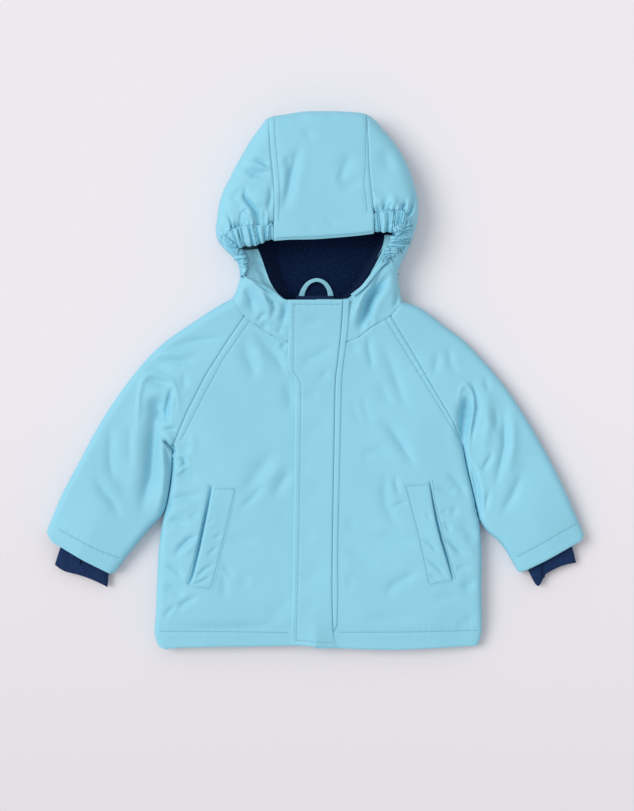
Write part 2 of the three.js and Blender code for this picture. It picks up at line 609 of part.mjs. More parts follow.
const CUFF_ACROSS = [0, 0.08, 0.2, 0.35, 0.5, 0.65, 0.8, 0.92, 1];
const CUFF_ALONG = [0, 0.25, 0.5, 0.75, 1];
const CUFF_DROP_FROM = 0.7; // share of its length from which the free end hangs
const CUFF_TANGENT = 0.1; // share of its width over which the direction across is taken

// Flattened knit tube that starts inside the sleeve and ends past its hem
function knitCuff(table) {
  const count = table.length - 1;
  const rows = CUFF_ALONG.map((v) => {
    const low = CLOTH + LYING;
    const half = (CUFF_TOP - low) / 2;
    const drop = CUFF_DROP * smooth(CUFF_DROP_FROM, 1, v);
    const point = (share, side) => {
      const [sx, sy, ex, ey] = tableRow(table, share * count);
      const edge = 2 * share - 1;
      const up = Math.sqrt(1 - Math.abs(edge) ** 4);
      const z = low + half + side * half * up - drop;
      const [tx, ty, ux, uy] = tableRow(table, clamp(share + CUFF_TANGENT, 0, 1) * count);
      const [qx, qy, wx, wy] = tableRow(table, clamp(share - CUFF_TANGENT, 0, 1) * count);
      const dirX = mix(tx - qx, ux - wx, v);
      const dirY = mix(ty - qy, uy - wy, v);
      const length = Math.hypot(dirX, dirY);
      const lean = Math.sign(edge) * Math.abs(edge) ** 3;
      const n = new THREE.Vector3((dirX / length) * lean, (dirY / length) * lean, side * Math.max(up, 0.001));
      return { p: new THREE.Vector3(mix(sx, ex, v), mix(sy, ey, v), z), n: n.normalize() };
    };
    return [
      ...CUFF_ACROSS.map((share) => point(share, 1)),
      ...reversed(CUFF_ACROSS.slice(1, -1)).map((share) => point(share, -1)),
    ];
  });
  return wall(rows, KNIT, { ring: true });
}

// Seams under the hood, from the crown to the back of the neck
const UNDER_RIGHT = [[-52.5, 283], [-49, 240], [-47, 180], [-47, 100]];
const UNDER_LEFT = [[61, 285.5], [64, 240], [64, 180], [62, 100]];

const coat = new THREE.Group();

function add(name, geometry, colour, roughness) {
  const material = new THREE.MeshStandardMaterial({ color: colour, roughness, metalness: 0 });
  const mesh = new THREE.Mesh(geometry, material);
  mesh.name = name;
  coat.add(mesh);
}

const SHELL = [COLOURS.coat, 0.55];
const NAVY_FLEECE = [COLOURS.fleece, 0.95];
const NAVY_KNIT = [COLOURS.knit, 0.9];

add('back', back(), ...SHELL);
add('front_right', front(SIDE_RIGHT, RAGLAN_RIGHT, HEM_RIGHT, NECK_RIGHT), ...SHELL);
add('front_left', front(SIDE_LEFT, RAGLAN_LEFT, HEM_LEFT, NECK_LEFT), ...SHELL);
add('sleeve_right', sleeve(outerRight, innerRight, NECK_RIGHT, RAGLAN_RIGHT, WRIST_RIGHT, NECK_BACK[1]), ...SHELL);
add('sleeve_left', sleeve(outerLeft, innerLeft, NECK_LEFT, RAGLAN_LEFT, WRIST_LEFT, NECK_BACK[5]), ...SHELL);
add('cuff_right', knitCuff(CUFF_RIGHT), ...NAVY_KNIT);
add('cuff_left', knitCuff(CUFF_LEFT), ...NAVY_KNIT);
add('hood_centre', hoodCentre([CROWN[0], ...UNDER_RIGHT], [CROWN[CROWN.length - 1], ...UNDER_LEFT]), ...SHELL);
add('hood_side_right', hoodSide(HOOD_SIDE_RIGHT, NECK_RIGHT, -1, UNDER_RIGHT), ...SHELL);
add('hood_side_left', hoodSide(HOOD_SIDE_LEFT, NECK_LEFT, 1, UNDER_LEFT), ...SHELL);
add('hood_casing_brim', casing(CASING_BRIM), ...SHELL);
add('hood_casing_right', casing(CASING_RIGHT, GATHERS_RIGHT), ...SHELL);
add('hood_casing_left', casing(CASING_LEFT, GATHERS_LEFT), ...SHELL);
add('hood_facing', facing(FACING_RIGHT), ...SHELL);
add('hood_lining', hoodLining(), ...NAVY_FLEECE);
add('storm_flap', strip(FLAP, 5, CLOTH, 3), ...SHELL);
add('flap_band', strip(BAND, 1, BAND_CLOTH, 3), ...SHELL);
add('pocket_welt_right', welt(WELT_RIGHT), ...SHELL);
add('pocket_welt_left', welt(WELT_LEFT), ...SHELL);
add('hanging_loop', hangingLoop(), ...SHELL);
add('neck_label', neckLabel(), ...NAVY_KNIT);

export default coat;
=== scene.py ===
import math

import bpy
import numpy as np
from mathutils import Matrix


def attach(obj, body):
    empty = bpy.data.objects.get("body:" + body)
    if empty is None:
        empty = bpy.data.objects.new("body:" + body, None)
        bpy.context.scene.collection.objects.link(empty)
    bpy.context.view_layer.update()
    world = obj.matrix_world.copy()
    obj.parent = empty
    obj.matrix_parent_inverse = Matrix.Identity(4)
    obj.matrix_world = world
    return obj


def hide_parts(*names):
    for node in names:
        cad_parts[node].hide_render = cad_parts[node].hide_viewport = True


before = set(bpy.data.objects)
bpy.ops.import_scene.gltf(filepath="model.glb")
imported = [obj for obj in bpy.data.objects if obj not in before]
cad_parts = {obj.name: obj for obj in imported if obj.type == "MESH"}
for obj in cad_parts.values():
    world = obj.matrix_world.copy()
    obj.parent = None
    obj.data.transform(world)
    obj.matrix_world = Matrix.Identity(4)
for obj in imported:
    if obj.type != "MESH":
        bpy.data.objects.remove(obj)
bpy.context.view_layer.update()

# Tables are in millimetres, X to the wearer's left, Y toward the hood, and meshes in metres.
# Each cloth piece is a thin shell on the form of its solid, cut along the same seam lines.
MM = 0.001

# Cloth
CLOTH = 2.2
TURNED_EDGE = 3.6
FACING = 1.5
FLEECE = 1.6
KNIT = 2.0
SEAM = 0.12
ON_TOP = 0.3
FLAP_CLOTH = 1.4
WELT_CLOTH = 1.2
LYING = 0.3
BAND_CLOTH = 0.9

# The pillow form
BODY_TOP, BODY_MID, BODY_ROUND = 22.0, 10.0, 11.0
HOOD_TOP, HOOD_MID, HOOD_ROUND = 45.0, 15.0, 23.0
EDGE_POWER = 2.8  # 2 rounds the folded edges off like a circle, more makes them tighter
UNDER_ROUND = 1.2  # rounding of the bottom layer's edge, for each mm of its height
HOOD_START_Y, HOOD_FULL_Y = 35.0, 150.0
DOME_RISE, DOME_REACH = 3.0, 60.0
HEM_DROP, HEM_REACH = 4.0, 26.0
HEM_LOWER = 3.6  # how much lower than the wrists the hem lies
UNDER_FRONT = 3.0  # how far the sleeve tucks under the front at the armpit
HEM_RAISE, HEM_WIDTH = 0.8, 19.0
SLIT_DEPTH, SLIT_HALF = 6.5, 1.5
WELT_LOW, WELT_STAND = 0.5, 1.3

# How fine the meshes are
STEP = 1.8
EDGE_STEPS = [SEAM, 0.4, 0.9, 1.6, 2.5, 3.6, 5.0, 6.7, 8.7, 11.0]
SEAM_STEPS = [SEAM, 0.7, 1.4, 2.4]
WELT_SHARES = (0.15, 0.4)  # share of a front's width where the pocket is, meshed finer
BRIM_STEPS = [0, 1, 2]
CROWN_STEPS = [SEAM, 0.8, 1.6, 2.7, 4.2, 6.2, 8.6, 12]
NECK_STEPS = [1.5, 3, 5, 8]
ROUNDED_STEPS = 5  # points of a rounded line for each given one
CASING_FINE = 0.32  # step of the gathered casings, as a share of the usual one
CASING_COLUMNS, FACING_COLUMNS = 18, 20
CUFF_COLUMNS, CUFF_ROWS = 91, 34
SIDE_END, CASING_END = 0.03, 0.04  # how far the first and last rows lie inside their table

# Rough sizes of the pieces, which the steps divide
SLEEVE_WIDTH, SLEEVE_LENGTH = 150, 300
SIDE_LENGTH, SIDE_WIDTH, SIDE_UNDER = 480, 100, 36
CENTRE_WIDTH, CENTRE_TOP, CENTRE_UNDER = 110, 125, 200
CASING_LENGTH, FACING_LENGTH, LINING_SIZE = 130, 75, 150
FLAP_WIDTH, FLAP_LENGTH, BAND_LENGTH = 55, 405, 380
WELT_WIDTH, WELT_LENGTH = 27, 118

# Seam and edge lines, each row x, y
SIDE_RIGHT = [
    (-166, -76), (-167.5, -106.5), (-172, -137), (-178, -162.5), (-183, -195.5),
    (-185, -233), (-186.5, -270.5), (-188, -296), (-184, -310),
]
SIDE_LEFT = [
    (173, -76), (179, -106.5), (186, -135.5), (192, -162.5), (195, -195.5),
    (195, -244.5), (195, -293.5), (191, -310),
]
HEM_RIGHT = [(-184, -310), (-176.5, -314), (-158, -312), (-111, -311), (-64.5, -310.5), (-27, -309.5)]
HEM_LEFT = [(191, -310), (165, -311), (141.5, -312.5), (99.5, -314.5), (60, -314), (27, -312.5)]
RAGLAN_RIGHT = [(-82, 75), (-100, 49.5), (-127, 7.5), (-149.5, -37), (-166, -76)]
RAGLAN_LEFT = [(88, 75), (113, 34.5), (142.5, -16), (161, -47.5), (173, -76)]
NECK_RIGHT = [(-97, 96.5), (-82, 75), (-67.5, 64.5), (-50.5, 53), (-31.5, 45.5), (0, 43.5)]
NECK_LEFT = [(102.5, 93), (88, 75), (66.5, 63), (51.5, 51), (37, 45.5), (0, 43.5)]
NECK_BACK = [(-97, 96.5), (-84, 97.4), (-47, 100), (0, 101), (62, 100), (90, 95.2), (102.5, 93)]
OUTER_RIGHT = [
    (-97, 96.5), (-117, 85.5), (-146, 66.5), (-173, 48), (-194, 29), (-217.5, 1),
    (-237.5, -27), (-255, -55), (-275, -92.5), (-295, -130), (-314.5, -176),
]
OUTER_LEFT = [
    (102.5, 93), (123, 85.5), (148.5, 66.5), (173, 48), (192, 29), (216.5, 1),
    (236.5, -27), (254, -55), (275, -92.5), (293.5, -130), (315, -180),
]
INNER_RIGHT = [
    (-166, -76), (-167.5, -106.5), (-172, -137), (-178, -155.5), (-193, -172), (-215.5, -199.5),
    (-235.5, -225),
]
INNER_LEFT = [
    (173, -76), (179, -106.5), (186, -135.5), (190.5, -158), (201, -175.5), (216.5, -189.5),
    (238.5, -224),
]
WRIST_RIGHT = [
    (-314.5, -176), (-307.5, -188.5), (-298.5, -193.5), (-270.5, -210), (-241, -225), (-235.5, -225),
]
WRIST_LEFT = [(315, -180), (311.5, -187), (300.5, -193), (269, -210.5), (249, -220.5), (238.5, -224)]
CROWN = [(-55, 306.5), (-35, 310.5), (-14, 314), (8, 314.5), (35, 314), (59.5, 311)]

# Hood sides, from the crown to the neck seam: fold x, y, inner edge on top x, y
HOOD_SIDE_RIGHT = [
    (-55, 306.5, -52.5, 283), (-64.5, 295, -51, 261), (-75, 281, -49, 240), (-85.5, 263, -47.5, 219),
    (-93.5, 249, -47, 200), (-100.5, 235, -48, 179.5), (-106.5, 223.5, -55, 179.5),
    (-111, 210.5, -66.5, 179.5), (-113.5, 197.5, -79.5, 179), (-115, 186, -92.5, 176.5),
    (-116, 175.5, -104, 169.5), (-114, 165, -109, 161.5), (-107.5, 155.5, -103, 153.5),
    (-99, 147.5, -95, 145), (-92, 140.5, -88.5, 138), (-89, 132, -86, 130.5), (-88, 125, -85.5, 122),
    (-88, 119.5, -75, 117), (-89.5, 113.5, -61, 110), (-91.5, 108, -45.5, 100),
    (-93, 103.5, -30.5, 93), (-94.5, 100.5, 0, 93), (-96, 98.5, 0, 69), (-97, 96.5, 0, 43.5),
]
HOOD_SIDE_LEFT = [
    (59.5, 311, 61, 285.5), (70, 304, 62, 263), (82, 290, 63, 242), (92.5, 277.5, 65, 221),
    (102, 263, 66.5, 205), (109, 249, 68, 192), (113.5, 236.5, 73.5, 194), (117, 224.5, 85.5, 196),
    (119.5, 214, 96, 197), (120.5, 205, 104, 194), (120.5, 195.5, 109, 185), (119.5, 185, 111, 173),
    (116, 173, 110, 164.5), (113, 164, 106.5, 158), (110, 157, 99.5, 152), (106.5, 148.5, 91.5, 148),
    (103, 142, 84, 140.5), (99.5, 134.5, 76, 133.5), (97, 127.5, 65.5, 120.5), (97, 119.5, 54.5, 107.5),
    (98.5, 110, 42, 98.5), (99.5, 103, 31.5, 94), (100.5, 98.5, 0, 93), (102, 95.5, 0, 69),
    (102.5, 93, 0, 43.5),
]
NECK_ROWS = 5
NECK_BEND = 1.5  # how late the rows bend toward the neck seam
SEAM_ROWS = 5
UNDER_RIGHT = [(-52.5, 283), (-49, 240), (-47, 180), (-47, 100)]
UNDER_LEFT = [(61, 285.5), (64, 240), (64, 180), (62, 100)]

# Casing along the opening: stitched line x, y, free edge x, y
CASING_RIGHT = [
    (-48, 179.5, -48, 161), (-55, 179.5, -54.5, 161.5), (-66.5, 179.5, -64, 157.5),
    (-79.5, 179, -75, 155), (-92.5, 176.5, -84, 154.5), (-104, 169.5, -91.5, 153.5),
    (-109, 161.5, -93, 152), (-103, 153.5, -89, 149.5), (-95, 145, -81.5, 143.5),
    (-88.5, 138, -79.5, 137), (-86, 130.5, -80.5, 129.5), (-85.5, 122, -83, 120.5),
]
CASING_LEFT = [
    (68, 192, 68, 169.5), (73.5, 194, 73.5, 171.5), (85.5, 196, 85.5, 171), (96, 197, 93.5, 173),
    (104, 194, 97.5, 174), (109, 185, 95, 172), (111, 173, 90, 168), (110, 164.5, 87, 162.5),
    (106.5, 158, 84.5, 156.5), (99.5, 152, 82, 151.5), (91.5, 148, 79, 145.5), (84, 140.5, 75.5, 139.5),
    (76, 133.5, 71.5, 133), (65.5, 120.5, 62.5, 121.5), (54.5, 107.5, 52.5, 109), (42, 98.5, 41, 99.8),
]
CASING_BRIM = [
    (-48, 179.5, -48, 161), (-29, 182, -29, 162.5), (-3.5, 185.5, -3.5, 163),
    (24.5, 187, 24.5, 165), (47, 188, 47, 167), (68, 192, 68, 169.5),
]
# Gathers: how many, first and last row of the casing table, height, reach into the hood's side
GATHERS_RIGHT = (20, 0.8, 11, 8.4, 15)
GATHERS_LEFT = (20, 0.6, 11.2, 8.4, 15)

# Facing inside the opening: upper edge x, y, lower edge x, y
FACING_RIGHT = [
    (-88, 150.5, -66.5, 153.5), (-83.5, 143.5, -62.5, 144), (-82, 135, -58.5, 132),
    (-81.5, 126, -55, 121.5), (-76, 117, -51, 113), (-61, 108.5, -46, 105), (-47, 99.5, -40, 97.5),
]
FACING_LEFT = [
    (101.5, 168, 81, 170), (97, 157, 79, 158), (90, 147.5, 73, 145), (80.5, 134, 67, 130),
    (69, 119, 60.5, 117), (57, 108, 52.5, 107),
]
FACING_LOW = 25.0
FACING_DROP = 6.5
PUFF_POWER = 0.8  # 0.5 makes flat puffs with narrow creases, 1 makes even waves
JOINED_PUFFS = 2.3  # how many small puffs run into a large one away from the casing
SMALL_REACH = 5  # how far the small puffs reach into the hood's side
SCALLOP = 2.6  # how far the puffs push the gathered edge out

# Fleece from the neck up: right edge x, y, left edge x, y, right wall, left wall
LINING = [
    (-40, 96.5, 35, 96, 12, 14), (-46, 105, 46, 102, 16, 19), (-51, 113, 54, 111, 17, 21),
    (-55, 121.5, 64, 127.5, 17, 22), (-58.5, 132, 73, 142.5, 17, 22), (-62.5, 144, 80.5, 158, 16, 20),
    (-66.5, 156, 88, 172, 14, 14), (-71, 174, 94, 186, 9, 8), (-74, 198, 92, 205, 5, 6),
    (-74, 228, 86, 230, 5, 5),
]
LINING_WALL_RIGHT, LINING_WALL_LEFT = 20.0, 10.0

# Storm flap and pressed band: left edge x, y, right edge x, y
FLAP = [
    (-31, 94, 32.2, 94), (-30.5, 59.5, 30.2, 59.5), (-32, 17.5, 26.2, 22), (-24, 0, 23.7, 1),
    (-23.5, -37.5, 22.7, -37.5), (-25.5, -186, 20.2, -186), (-26.5, -249, 19.7, -249),
    (-28.5, -291.5, 21.2, -291.5), (-27, -308.5, 25.7, -311.5),
]
BAND = [
    (32.8, 94, 40, 94), (30.8, 59.5, 38, 59.5), (26.8, 22, 32.5, 17.5), (24.3, 1, 31, 0),
    (23.3, -37.5, 30, -37.5), (20.8, -186, 26.5, -186), (20.3, -249, 26.5, -249),
    (21.6, -291.5, 25.5, -284.5),
]
# Pocket welts: free edge at the slit x, y, sewn edge x, y
WELT_RIGHT = [
    (-119.5, -122.5, -91.5, -123.5), (-126.5, -162.5, -99.5, -163), (-133, -194, -107.5, -195),
    (-140.8, -226, -115.5, -228), (-146.5, -240.5, -120, -244.5),
]
WELT_LEFT = [
    (132.5, -118.5, 103.2, -119.5), (140.2, -164, 115, -166), (145.3, -184.5, 120, -186),
    (151.8, -206, 125.5, -208), (160, -233.5, 131.7, -239.5),
]
SLITS = [
    [(-120.5, -124), (-124, -141.5), (-128.5, -162.5), (-135, -194), (-142.5, -226), (-146.5, -237)],
    [(133.5, -119.5), (137, -142.5), (142, -164), (147, -184.5), (153.5, -206), (160.5, -231.5)],
]

LOOP = [(-17, 96), (-13.5, 107), (-7.5, 115), (2, 118.5), (10.5, 115.5), (16.5, 107.5), (19, 96)]
LOOP_WIDTH, LOOP_WIDTH_TOP = 7.0, 4.2
LABEL_WIDTH, LABEL_LENGTH, LABEL_THICK, LABEL_Y = 44.0, 6.0, 0.8, 97.0

# Knit cuffs, across the wrist: start inside the sleeve x, y, free end x, y
CUFF_RIGHT = [
    (-291.5, -172, -305.5, -215.5), (-279.5, -179, -293.5, -223), (-265.5, -187, -276, -227.5),
    (-251.5, -195.5, -258.5, -234), (-240, -201, -243.5, -241.5),
]
CUFF_LEFT = [
    (296, -172, 306.5, -213), (285.5, -178, 290, -216.5), (274, -183.5, 271, -226),
    (264.5, -188.5, 267, -233), (255, -194, 260.5, -240), (245.5, -199, 250.5, -222.5),
]
CUFF_TOP = 12.5
CUFF_DROP = 1.2
RIB = 2.6  # from one rib of the knit to the next

# Folds of the top layer: points along it, half width, height
FOLDS = [
    # right sleeve
    ([
        (-192, -15), (-189, -31.5), (-188, -50.5), (-190, -70), (-191, -90), (-192.5, -111),
        (-197, -127.5), (-201, -145), (-204, -165),
    ], 8.5, -8.6),
    ([
        (-207, -69), (-206, -34), (-205, -16.5), (-201, -1), (-195.5, 6), (-188.5, 7.5), (-180, 6),
        (-172, 3), (-165.5, -1), (-161.5, -10.5), (-159, -24.5), (-158, -45.5),
    ], 2.8, 1.95),
    ([(-197.5, 0), (-187, 0), (-174.5, -3.5), (-168.5, -8)], 5.1, -2.7),
    ([(-166, -4.5), (-171.5, -23.5), (-174.5, -34), (-173.5, -43.5), (-169.5, -50.5)], 2.8, -4.8),
    ([(-180, -56), (-161.5, -55)], 2.1, -2.25),
    ([(-176, -60), (-174.5, -74), (-172, -88), (-169, -103), (-166, -112.5)], 3.6, -3.6),
    ([(-180, -66), (-178.5, -84), (-176.5, -105.5), (-177.5, -130), (-185, -154.5)], 5.2, 2.6),
    ([(-182.5, -66), (-174.5, -72.5), (-166, -81), (-161, -91)], 1.9, -5),
    ([(-181, -61), (-170, -67), (-161, -79)], 3, 2.6),
    ([(-181.5, -68), (-169.5, -82), (-159, -97.5)], 1.7, 1.95),
    ([(-161.5, -88), (-153.5, -91.5), (-151.5, -97), (-158, -102.5)], 2.6, -3.75),
    ([(-150, -92.5), (-151, -100.5), (-158, -106.5), (-164.5, -110), (-166.5, -118)], 2.1, 2.4),
    ([(-168.5, -130), (-172, -148.5), (-181.5, -165)], 5.1, -4.5),
    ([(-238, -47), (-239, -96), (-234, -123)], 5.1, -1.8),
    ([(-216.5, -49), (-216.5, -105.5)], 5.1, -1.35),
    ([(-261, -106.5), (-247, -128.5), (-235, -142.5), (-223.5, -162.5)], 6.4, -2.7),
    ([(-187, 24.5), (-158, 23), (-137, 23)], 3.9, -2.55),
    ([(-181.5, 37.5), (-146, 45.5), (-102, 51.5)], 3.9, -1.95),
    ([(-186, 31.5), (-134.5, 34)], 3.9, 1.35),
    ([(-153.5, 10.5), (-152, -13)], 5.1, -1.65),
    ([(-188, -14), (-181.5, -34), (-178.5, -52.5)], 11, -8.6),
    ([(-251.5, -69), (-228, -116), (-210.5, -162.5)], 18, -2.8),
    ([(-210.5, 30.5), (-164, 10.5)], 11.6, -1.8),
    # left sleeve
    ([(175, -13), (175, -26), (174.5, -40), (172.5, -55), (172.5, -69), (175, -85)], 6.4, -9.4),
    ([(176.5, -17.5), (175.5, -36.5)], 3.9, -2.8),
    ([
        (166, -38), (166, -22), (169.5, -9), (174.5, -4.5), (180.5, -9.5), (184.5, -20), (184.5, -36),
        (181.5, -54), (178.5, -73.5), (180, -89), (187.5, -99),
    ], 2.4, 2.6),
    ([
        (183, 7.5), (183, -6), (186.5, -20), (188.5, -31.5), (186, -49), (182.5, -66.5),
        (180.5, -77),
    ], 3.4, -3.2),
    ([(191, 3.5), (200, -23.5), (202, -50.5), (197.5, -77), (192, -96)], 8.5, 3.2),
    ([(188, -101), (196.5, -101), (203, -91), (208.5, -80)], 3.2, -2.4),
    ([(209.5, -27), (213, -45.5), (210.5, -62)], 5.8, -2.52),
    ([
        (224, -20), (221, -38.5), (222, -56), (222, -75), (217.5, -96), (211, -118), (207.5, -132),
    ], 5.2, -3.6),
    ([(229.5, -24.5), (231.5, -51.5), (231.5, -75), (226, -113.5)], 6.4, 1.68),
    ([(202.5, -124), (200, -139), (198.5, -155.5)], 3.6, -2),
    ([(243.5, -104), (230.5, -135.5), (216.5, -160.5)], 5.8, -2.52),
    ([(196.5, 6), (202.5, -13)], 3.2, -1.68),
    ([(142.5, 36.5), (141.5, 22), (137, 6)], 5.1, -1.68),
    ([(155.5, 42), (158, 20), (168.5, 8)], 5.1, -1.68),
    ([(176.5, -89), (183.5, -105.5), (187, -121.5), (190.5, -139), (194, -162.5)], 3.9, -5.6),
    ([(251.5, -69), (240, -127.5), (216.5, -162.5)], 18, -2.24),
    ([(173, -20), (173, -51.5)], 9, -2.8),
    # right front
    ([(-144, -57.5), (-142, -75), (-145, -91.5)], 5.9, 1.16),
    ([(-152, -70), (-151, -88)], 7.8, -0.97),
    ([(-162.5, -109), (-146, -113.5), (-132, -112.5)], 7.8, -1.55),
    ([(-84, 54), (-79.5, 34), (-73.5, 15), (-69, -4.5)], 7.8, -2.51),
    ([(-74.5, 65.5), (-57.5, 42), (-40.5, 17.5), (-31.5, 1)], 6.2, -2.51),
    ([(-62, 54), (-50.5, 41), (-40, 22), (-31.5, 6)], 3.9, -1.55),
    ([(-69, 42), (-57.5, 7)], 6.8, 1.16),
    ([(-41, 42), (-33, 36.5)], 7.8, -1.35),
    ([(-35, 3.5), (-29, -15), (-25.5, -38.5)], 7.8, -2.32),
    ([(-43.5, -76), (-62, -99.5), (-80.5, -127.5), (-90, -139)], 10.7, -2.51),
    ([(-28, -99.5), (-40, -120.5), (-50.5, -139)], 7, -2.32),
    ([(-36.5, -90), (-59.5, -125)], 7.8, 0.97),
    ([(-55, -118), (-69, -132), (-90, -153.5)], 5.1, -1.74),
    ([(-105.5, -182.5), (-85.5, -186), (-64.5, -187)], 7.8, -0.97),
    ([(-111, -212), (-102, -221), (-95, -230.5)], 4.3, -1.55),
    ([(-110, -216.5), (-106.5, -235), (-106.5, -258.5)], 5.9, -1.35),
    ([(-92.5, -229.5), (-73.5, -236.5)], 7.8, -0.87),
    ([(-173, -153.5), (-167.5, -141.5), (-158, -136.5), (-146, -135), (-127.5, -132)], 5.1, -2.51),
    ([(-165, -153.5), (-148.5, -146), (-134.5, -145)], 5.9, 0.97),
    ([(-148.5, -159), (-133.5, -155.5)], 3.9, -1.35),
    ([(-178, -176.5), (-172, -167.5), (-162.5, -164), (-153.5, -167.5), (-148.5, -174.5)], 6.7, -2.9),
    ([(-134.5, -178), (-147.5, -186), (-158, -195.5), (-166, -205)], 3.6, -3.28),
    ([(-131, -186), (-146, -196.5), (-158, -206)], 4.8, 0.97),
    ([(-175.5, -212), (-162.5, -219), (-152, -228)], 3.9, -2.32),
    ([(-178, -247), (-167.5, -242), (-158, -247), (-153.5, -254)], 5.9, -2.13),
    ([(-134.5, -249), (-151, -258.5), (-164, -269)], 3.9, -2.7),
    ([(-160.5, -259.5), (-172, -270.5), (-178, -278.5)], 2.9, -1.74),
    ([(-172, -289), (-134.5, -288.5), (-88, -288.5), (-57.5, -284.5), (-36.5, -272.5)], 5.9, -1.74),
    ([(-27, -242), (-40, -265.5), (-62, -282)], 11.7, -1.45),
    ([(-128.5, -80.5), (-117, -95), (-104, -102)], 11.7, -0.67),
    # left front
    ([(63, 58.5), (63, 37.5), (66.5, 23.5), (65, 8)], 4.7, -1.98),
    ([(78, 47), (86.5, 24.5), (93.5, 3.5), (103, -22), (112.5, -41)], 6.7, -2.16),
    ([(73.5, 3.5), (82, -14), (90, -30.5)], 6.7, -1.26),
    ([(55, -13), (59.5, -34), (68, -57.5)], 6.2, -1.08),
    ([(40, -20), (49, -40), (56, -55)], 5.9, -0.9),
    ([(71.5, -42), (85.5, -52.5), (98.5, -70), (111, -90), (116, -106.5)], 6.2, -3.06),
    ([(86.5, -45.5), (102, -64.5), (120.5, -83)], 11.7, -0.9),
    ([(38.5, 31.5), (45.5, 41), (50.5, 48)], 7.8, -1.08),
    ([(54, -96), (61, -84), (73.5, -81.5), (89, -88)], 5.9, -1.35),
    ([(82, -99.5), (80.5, -125), (83, -145), (91.5, -164), (104, -180)], 6.4, -1.71),
    ([(93.5, -106.5), (95, -121.5), (99.5, -135.5)], 3.6, -1.8),
    ([(89, -148), (99.5, -144), (109, -142.5)], 2.9, -1.62),
    ([(134.5, -120.5), (144, -125), (155.5, -128), (169.5, -123)], 4.5, -1.8),
    ([(151, -103), (160.5, -112.5), (168.5, -121.5), (178, -139)], 4.7, -1.98),
    ([(157, -157), (167.5, -146)], 4.7, -1.62),
    ([(35, -168.5), (50.5, -167.5)], 7.8, -0.81),
    ([(62, -183.5), (82, -181.5), (99.5, -187), (123, -193)], 7, -1.8),
    ([(33, -194), (48, -201), (62, -209.5), (78.5, -213)], 7.8, -1.35),
    ([(35, -235), (48, -234)], 7.8, -0.72),
    ([(124, -217.5), (109, -228), (91.5, -237.5), (80.5, -256)], 7, -2.25),
    ([(52.5, -281), (70, -276), (99.5, -275), (130, -279.5)], 7.8, -1.35),
    ([(134.5, -255), (158, -251.5), (173, -254)], 5.9, -1.08),
    ([(147.5, -164), (153.5, -169.5), (159, -178)], 3.1, -1.8),
    ([(146, -153.5), (155.5, -151)], 3.1, -1.08),
    ([(147.5, -180), (158, -188.5), (167.5, -197.5), (175.5, -206)], 3.6, -3.06),
    ([(160.5, -176.5), (172, -185), (181.5, -196.5), (187, -212)], 5.1, 1.26),
    ([(166, -179), (174.5, -172), (182.5, -176.5), (187, -193)], 9, -2.52),
    ([(162.5, -222.5), (172, -217.5), (182.5, -220)], 3.9, -1.71),
    ([(171, -245.5), (179, -238.5), (189.5, -238.5)], 7, -2.52),
    ([(160.5, -286.5), (176.5, -282), (190.5, -270.5)], 7.8, -1.44),
    ([(33, -209.5), (43.5, -226)], 7.8, 0.63),
    # pocket welts
    ([(-117, -162.5), (-128.5, -166)], 2.1, -0.96),
    ([(-109, -178), (-119.5, -183.5)], 2.5, -1.12),
    ([(-113.5, -193), (-127.5, -205)], 2.2, -1.44),
    ([(-114.5, -212), (-127.5, -219), (-140.5, -230.5)], 2.5, -1.92),
    ([(-119.5, -227), (-133.5, -234), (-146, -236.5)], 2.1, -1.6),
    ([(127.5, -153.5), (137, -161.5)], 2.8, -1.12),
    ([(124, -183.5), (133.5, -189.5), (142.5, -201)], 2.2, -1.76),
    ([(127.5, -206), (139, -214), (153.5, -228)], 2.2, -2.08),
    ([(132, -224.5), (144, -231.5)], 2.2, -1.44),
    # storm flap
    ([(-21, 10.5), (-6, 25.5), (13, 34), (27, 42)], 6.6, -1.56),
    ([(-15, 69), (9.5, 70)], 6.6, -0.96),
    ([(3, 4.5), (17.5, 9)], 4.9, -1.2),
    ([(-22, -20), (8, -13)], 8.2, -1.08),
    ([(-21, -69), (6, -55), (22, -45.5)], 9.8, -1.08),
    ([(-21, -104), (-3.5, -92.5)], 6.6, -0.96),
    ([(-24.5, -145), (0, -132), (17.5, -123)], 11.5, -0.96),
    ([(-20, -186), (3.5, -176.5)], 8.2, -0.84),
    ([(-20, -235), (17.5, -212)], 11.5, -0.96),
    ([(-20, -270.5), (8, -256)], 8.2, -0.84),
    # hood
    ([(-84, 252.5), (-66.5, 248), (-48, 242)], 3.7, 2.4),
    ([(-73.5, 257.5), (-62, 252.5), (-51.5, 247)], 2.8, -2.4),
    ([(-84, 245.5), (-76, 240.5), (-62, 238.5), (-50.5, 239.5)], 3.4, -2.85),
    ([(-71.5, 223.5), (-64.5, 212), (-62, 197.5)], 11.2, 3),
    ([(-80.5, 228), (-80, 210.5), (-72.5, 201), (-67, 190), (-64.5, 182.5), (-66.5, 172)], 3.1, -6),
    ([(-51, 230.5), (-51, 213), (-56, 192)], 3.4, -2.7),
    ([(-77, 233), (-69, 236), (-59.5, 235)], 2.8, -1.95),
    ([(-79.5, 189.5), (-79, 189.5)], 5.6, 2.25),
    ([(-85.5, 179), (-84, 192), (-79.5, 196), (-75, 188.5)], 2.1, -2.25),
    ([(-59, 199), (-59, 180)], 2.1, -2.7),
    ([(-15, 276), (-22, 257.5), (-29, 235), (-31, 214), (-38, 188.5)], 6.3, -4.8),
    ([(-36.5, 251.5), (-33.5, 228), (-36.5, 206)], 4.9, 2.1),
    ([(-3.5, 290), (-11.5, 278.5)], 9, -1.3),
    ([(-31, 261), (-33, 244.5)], 4.2, -1.8),
    ([(16, 309), (19.5, 296)], 6, -0.8),
    ([(46, 266), (31, 240), (25, 222)], 8, -2.2),
    ([(27, 223), (38.5, 225), (56, 231)], 7.5, -1.5),
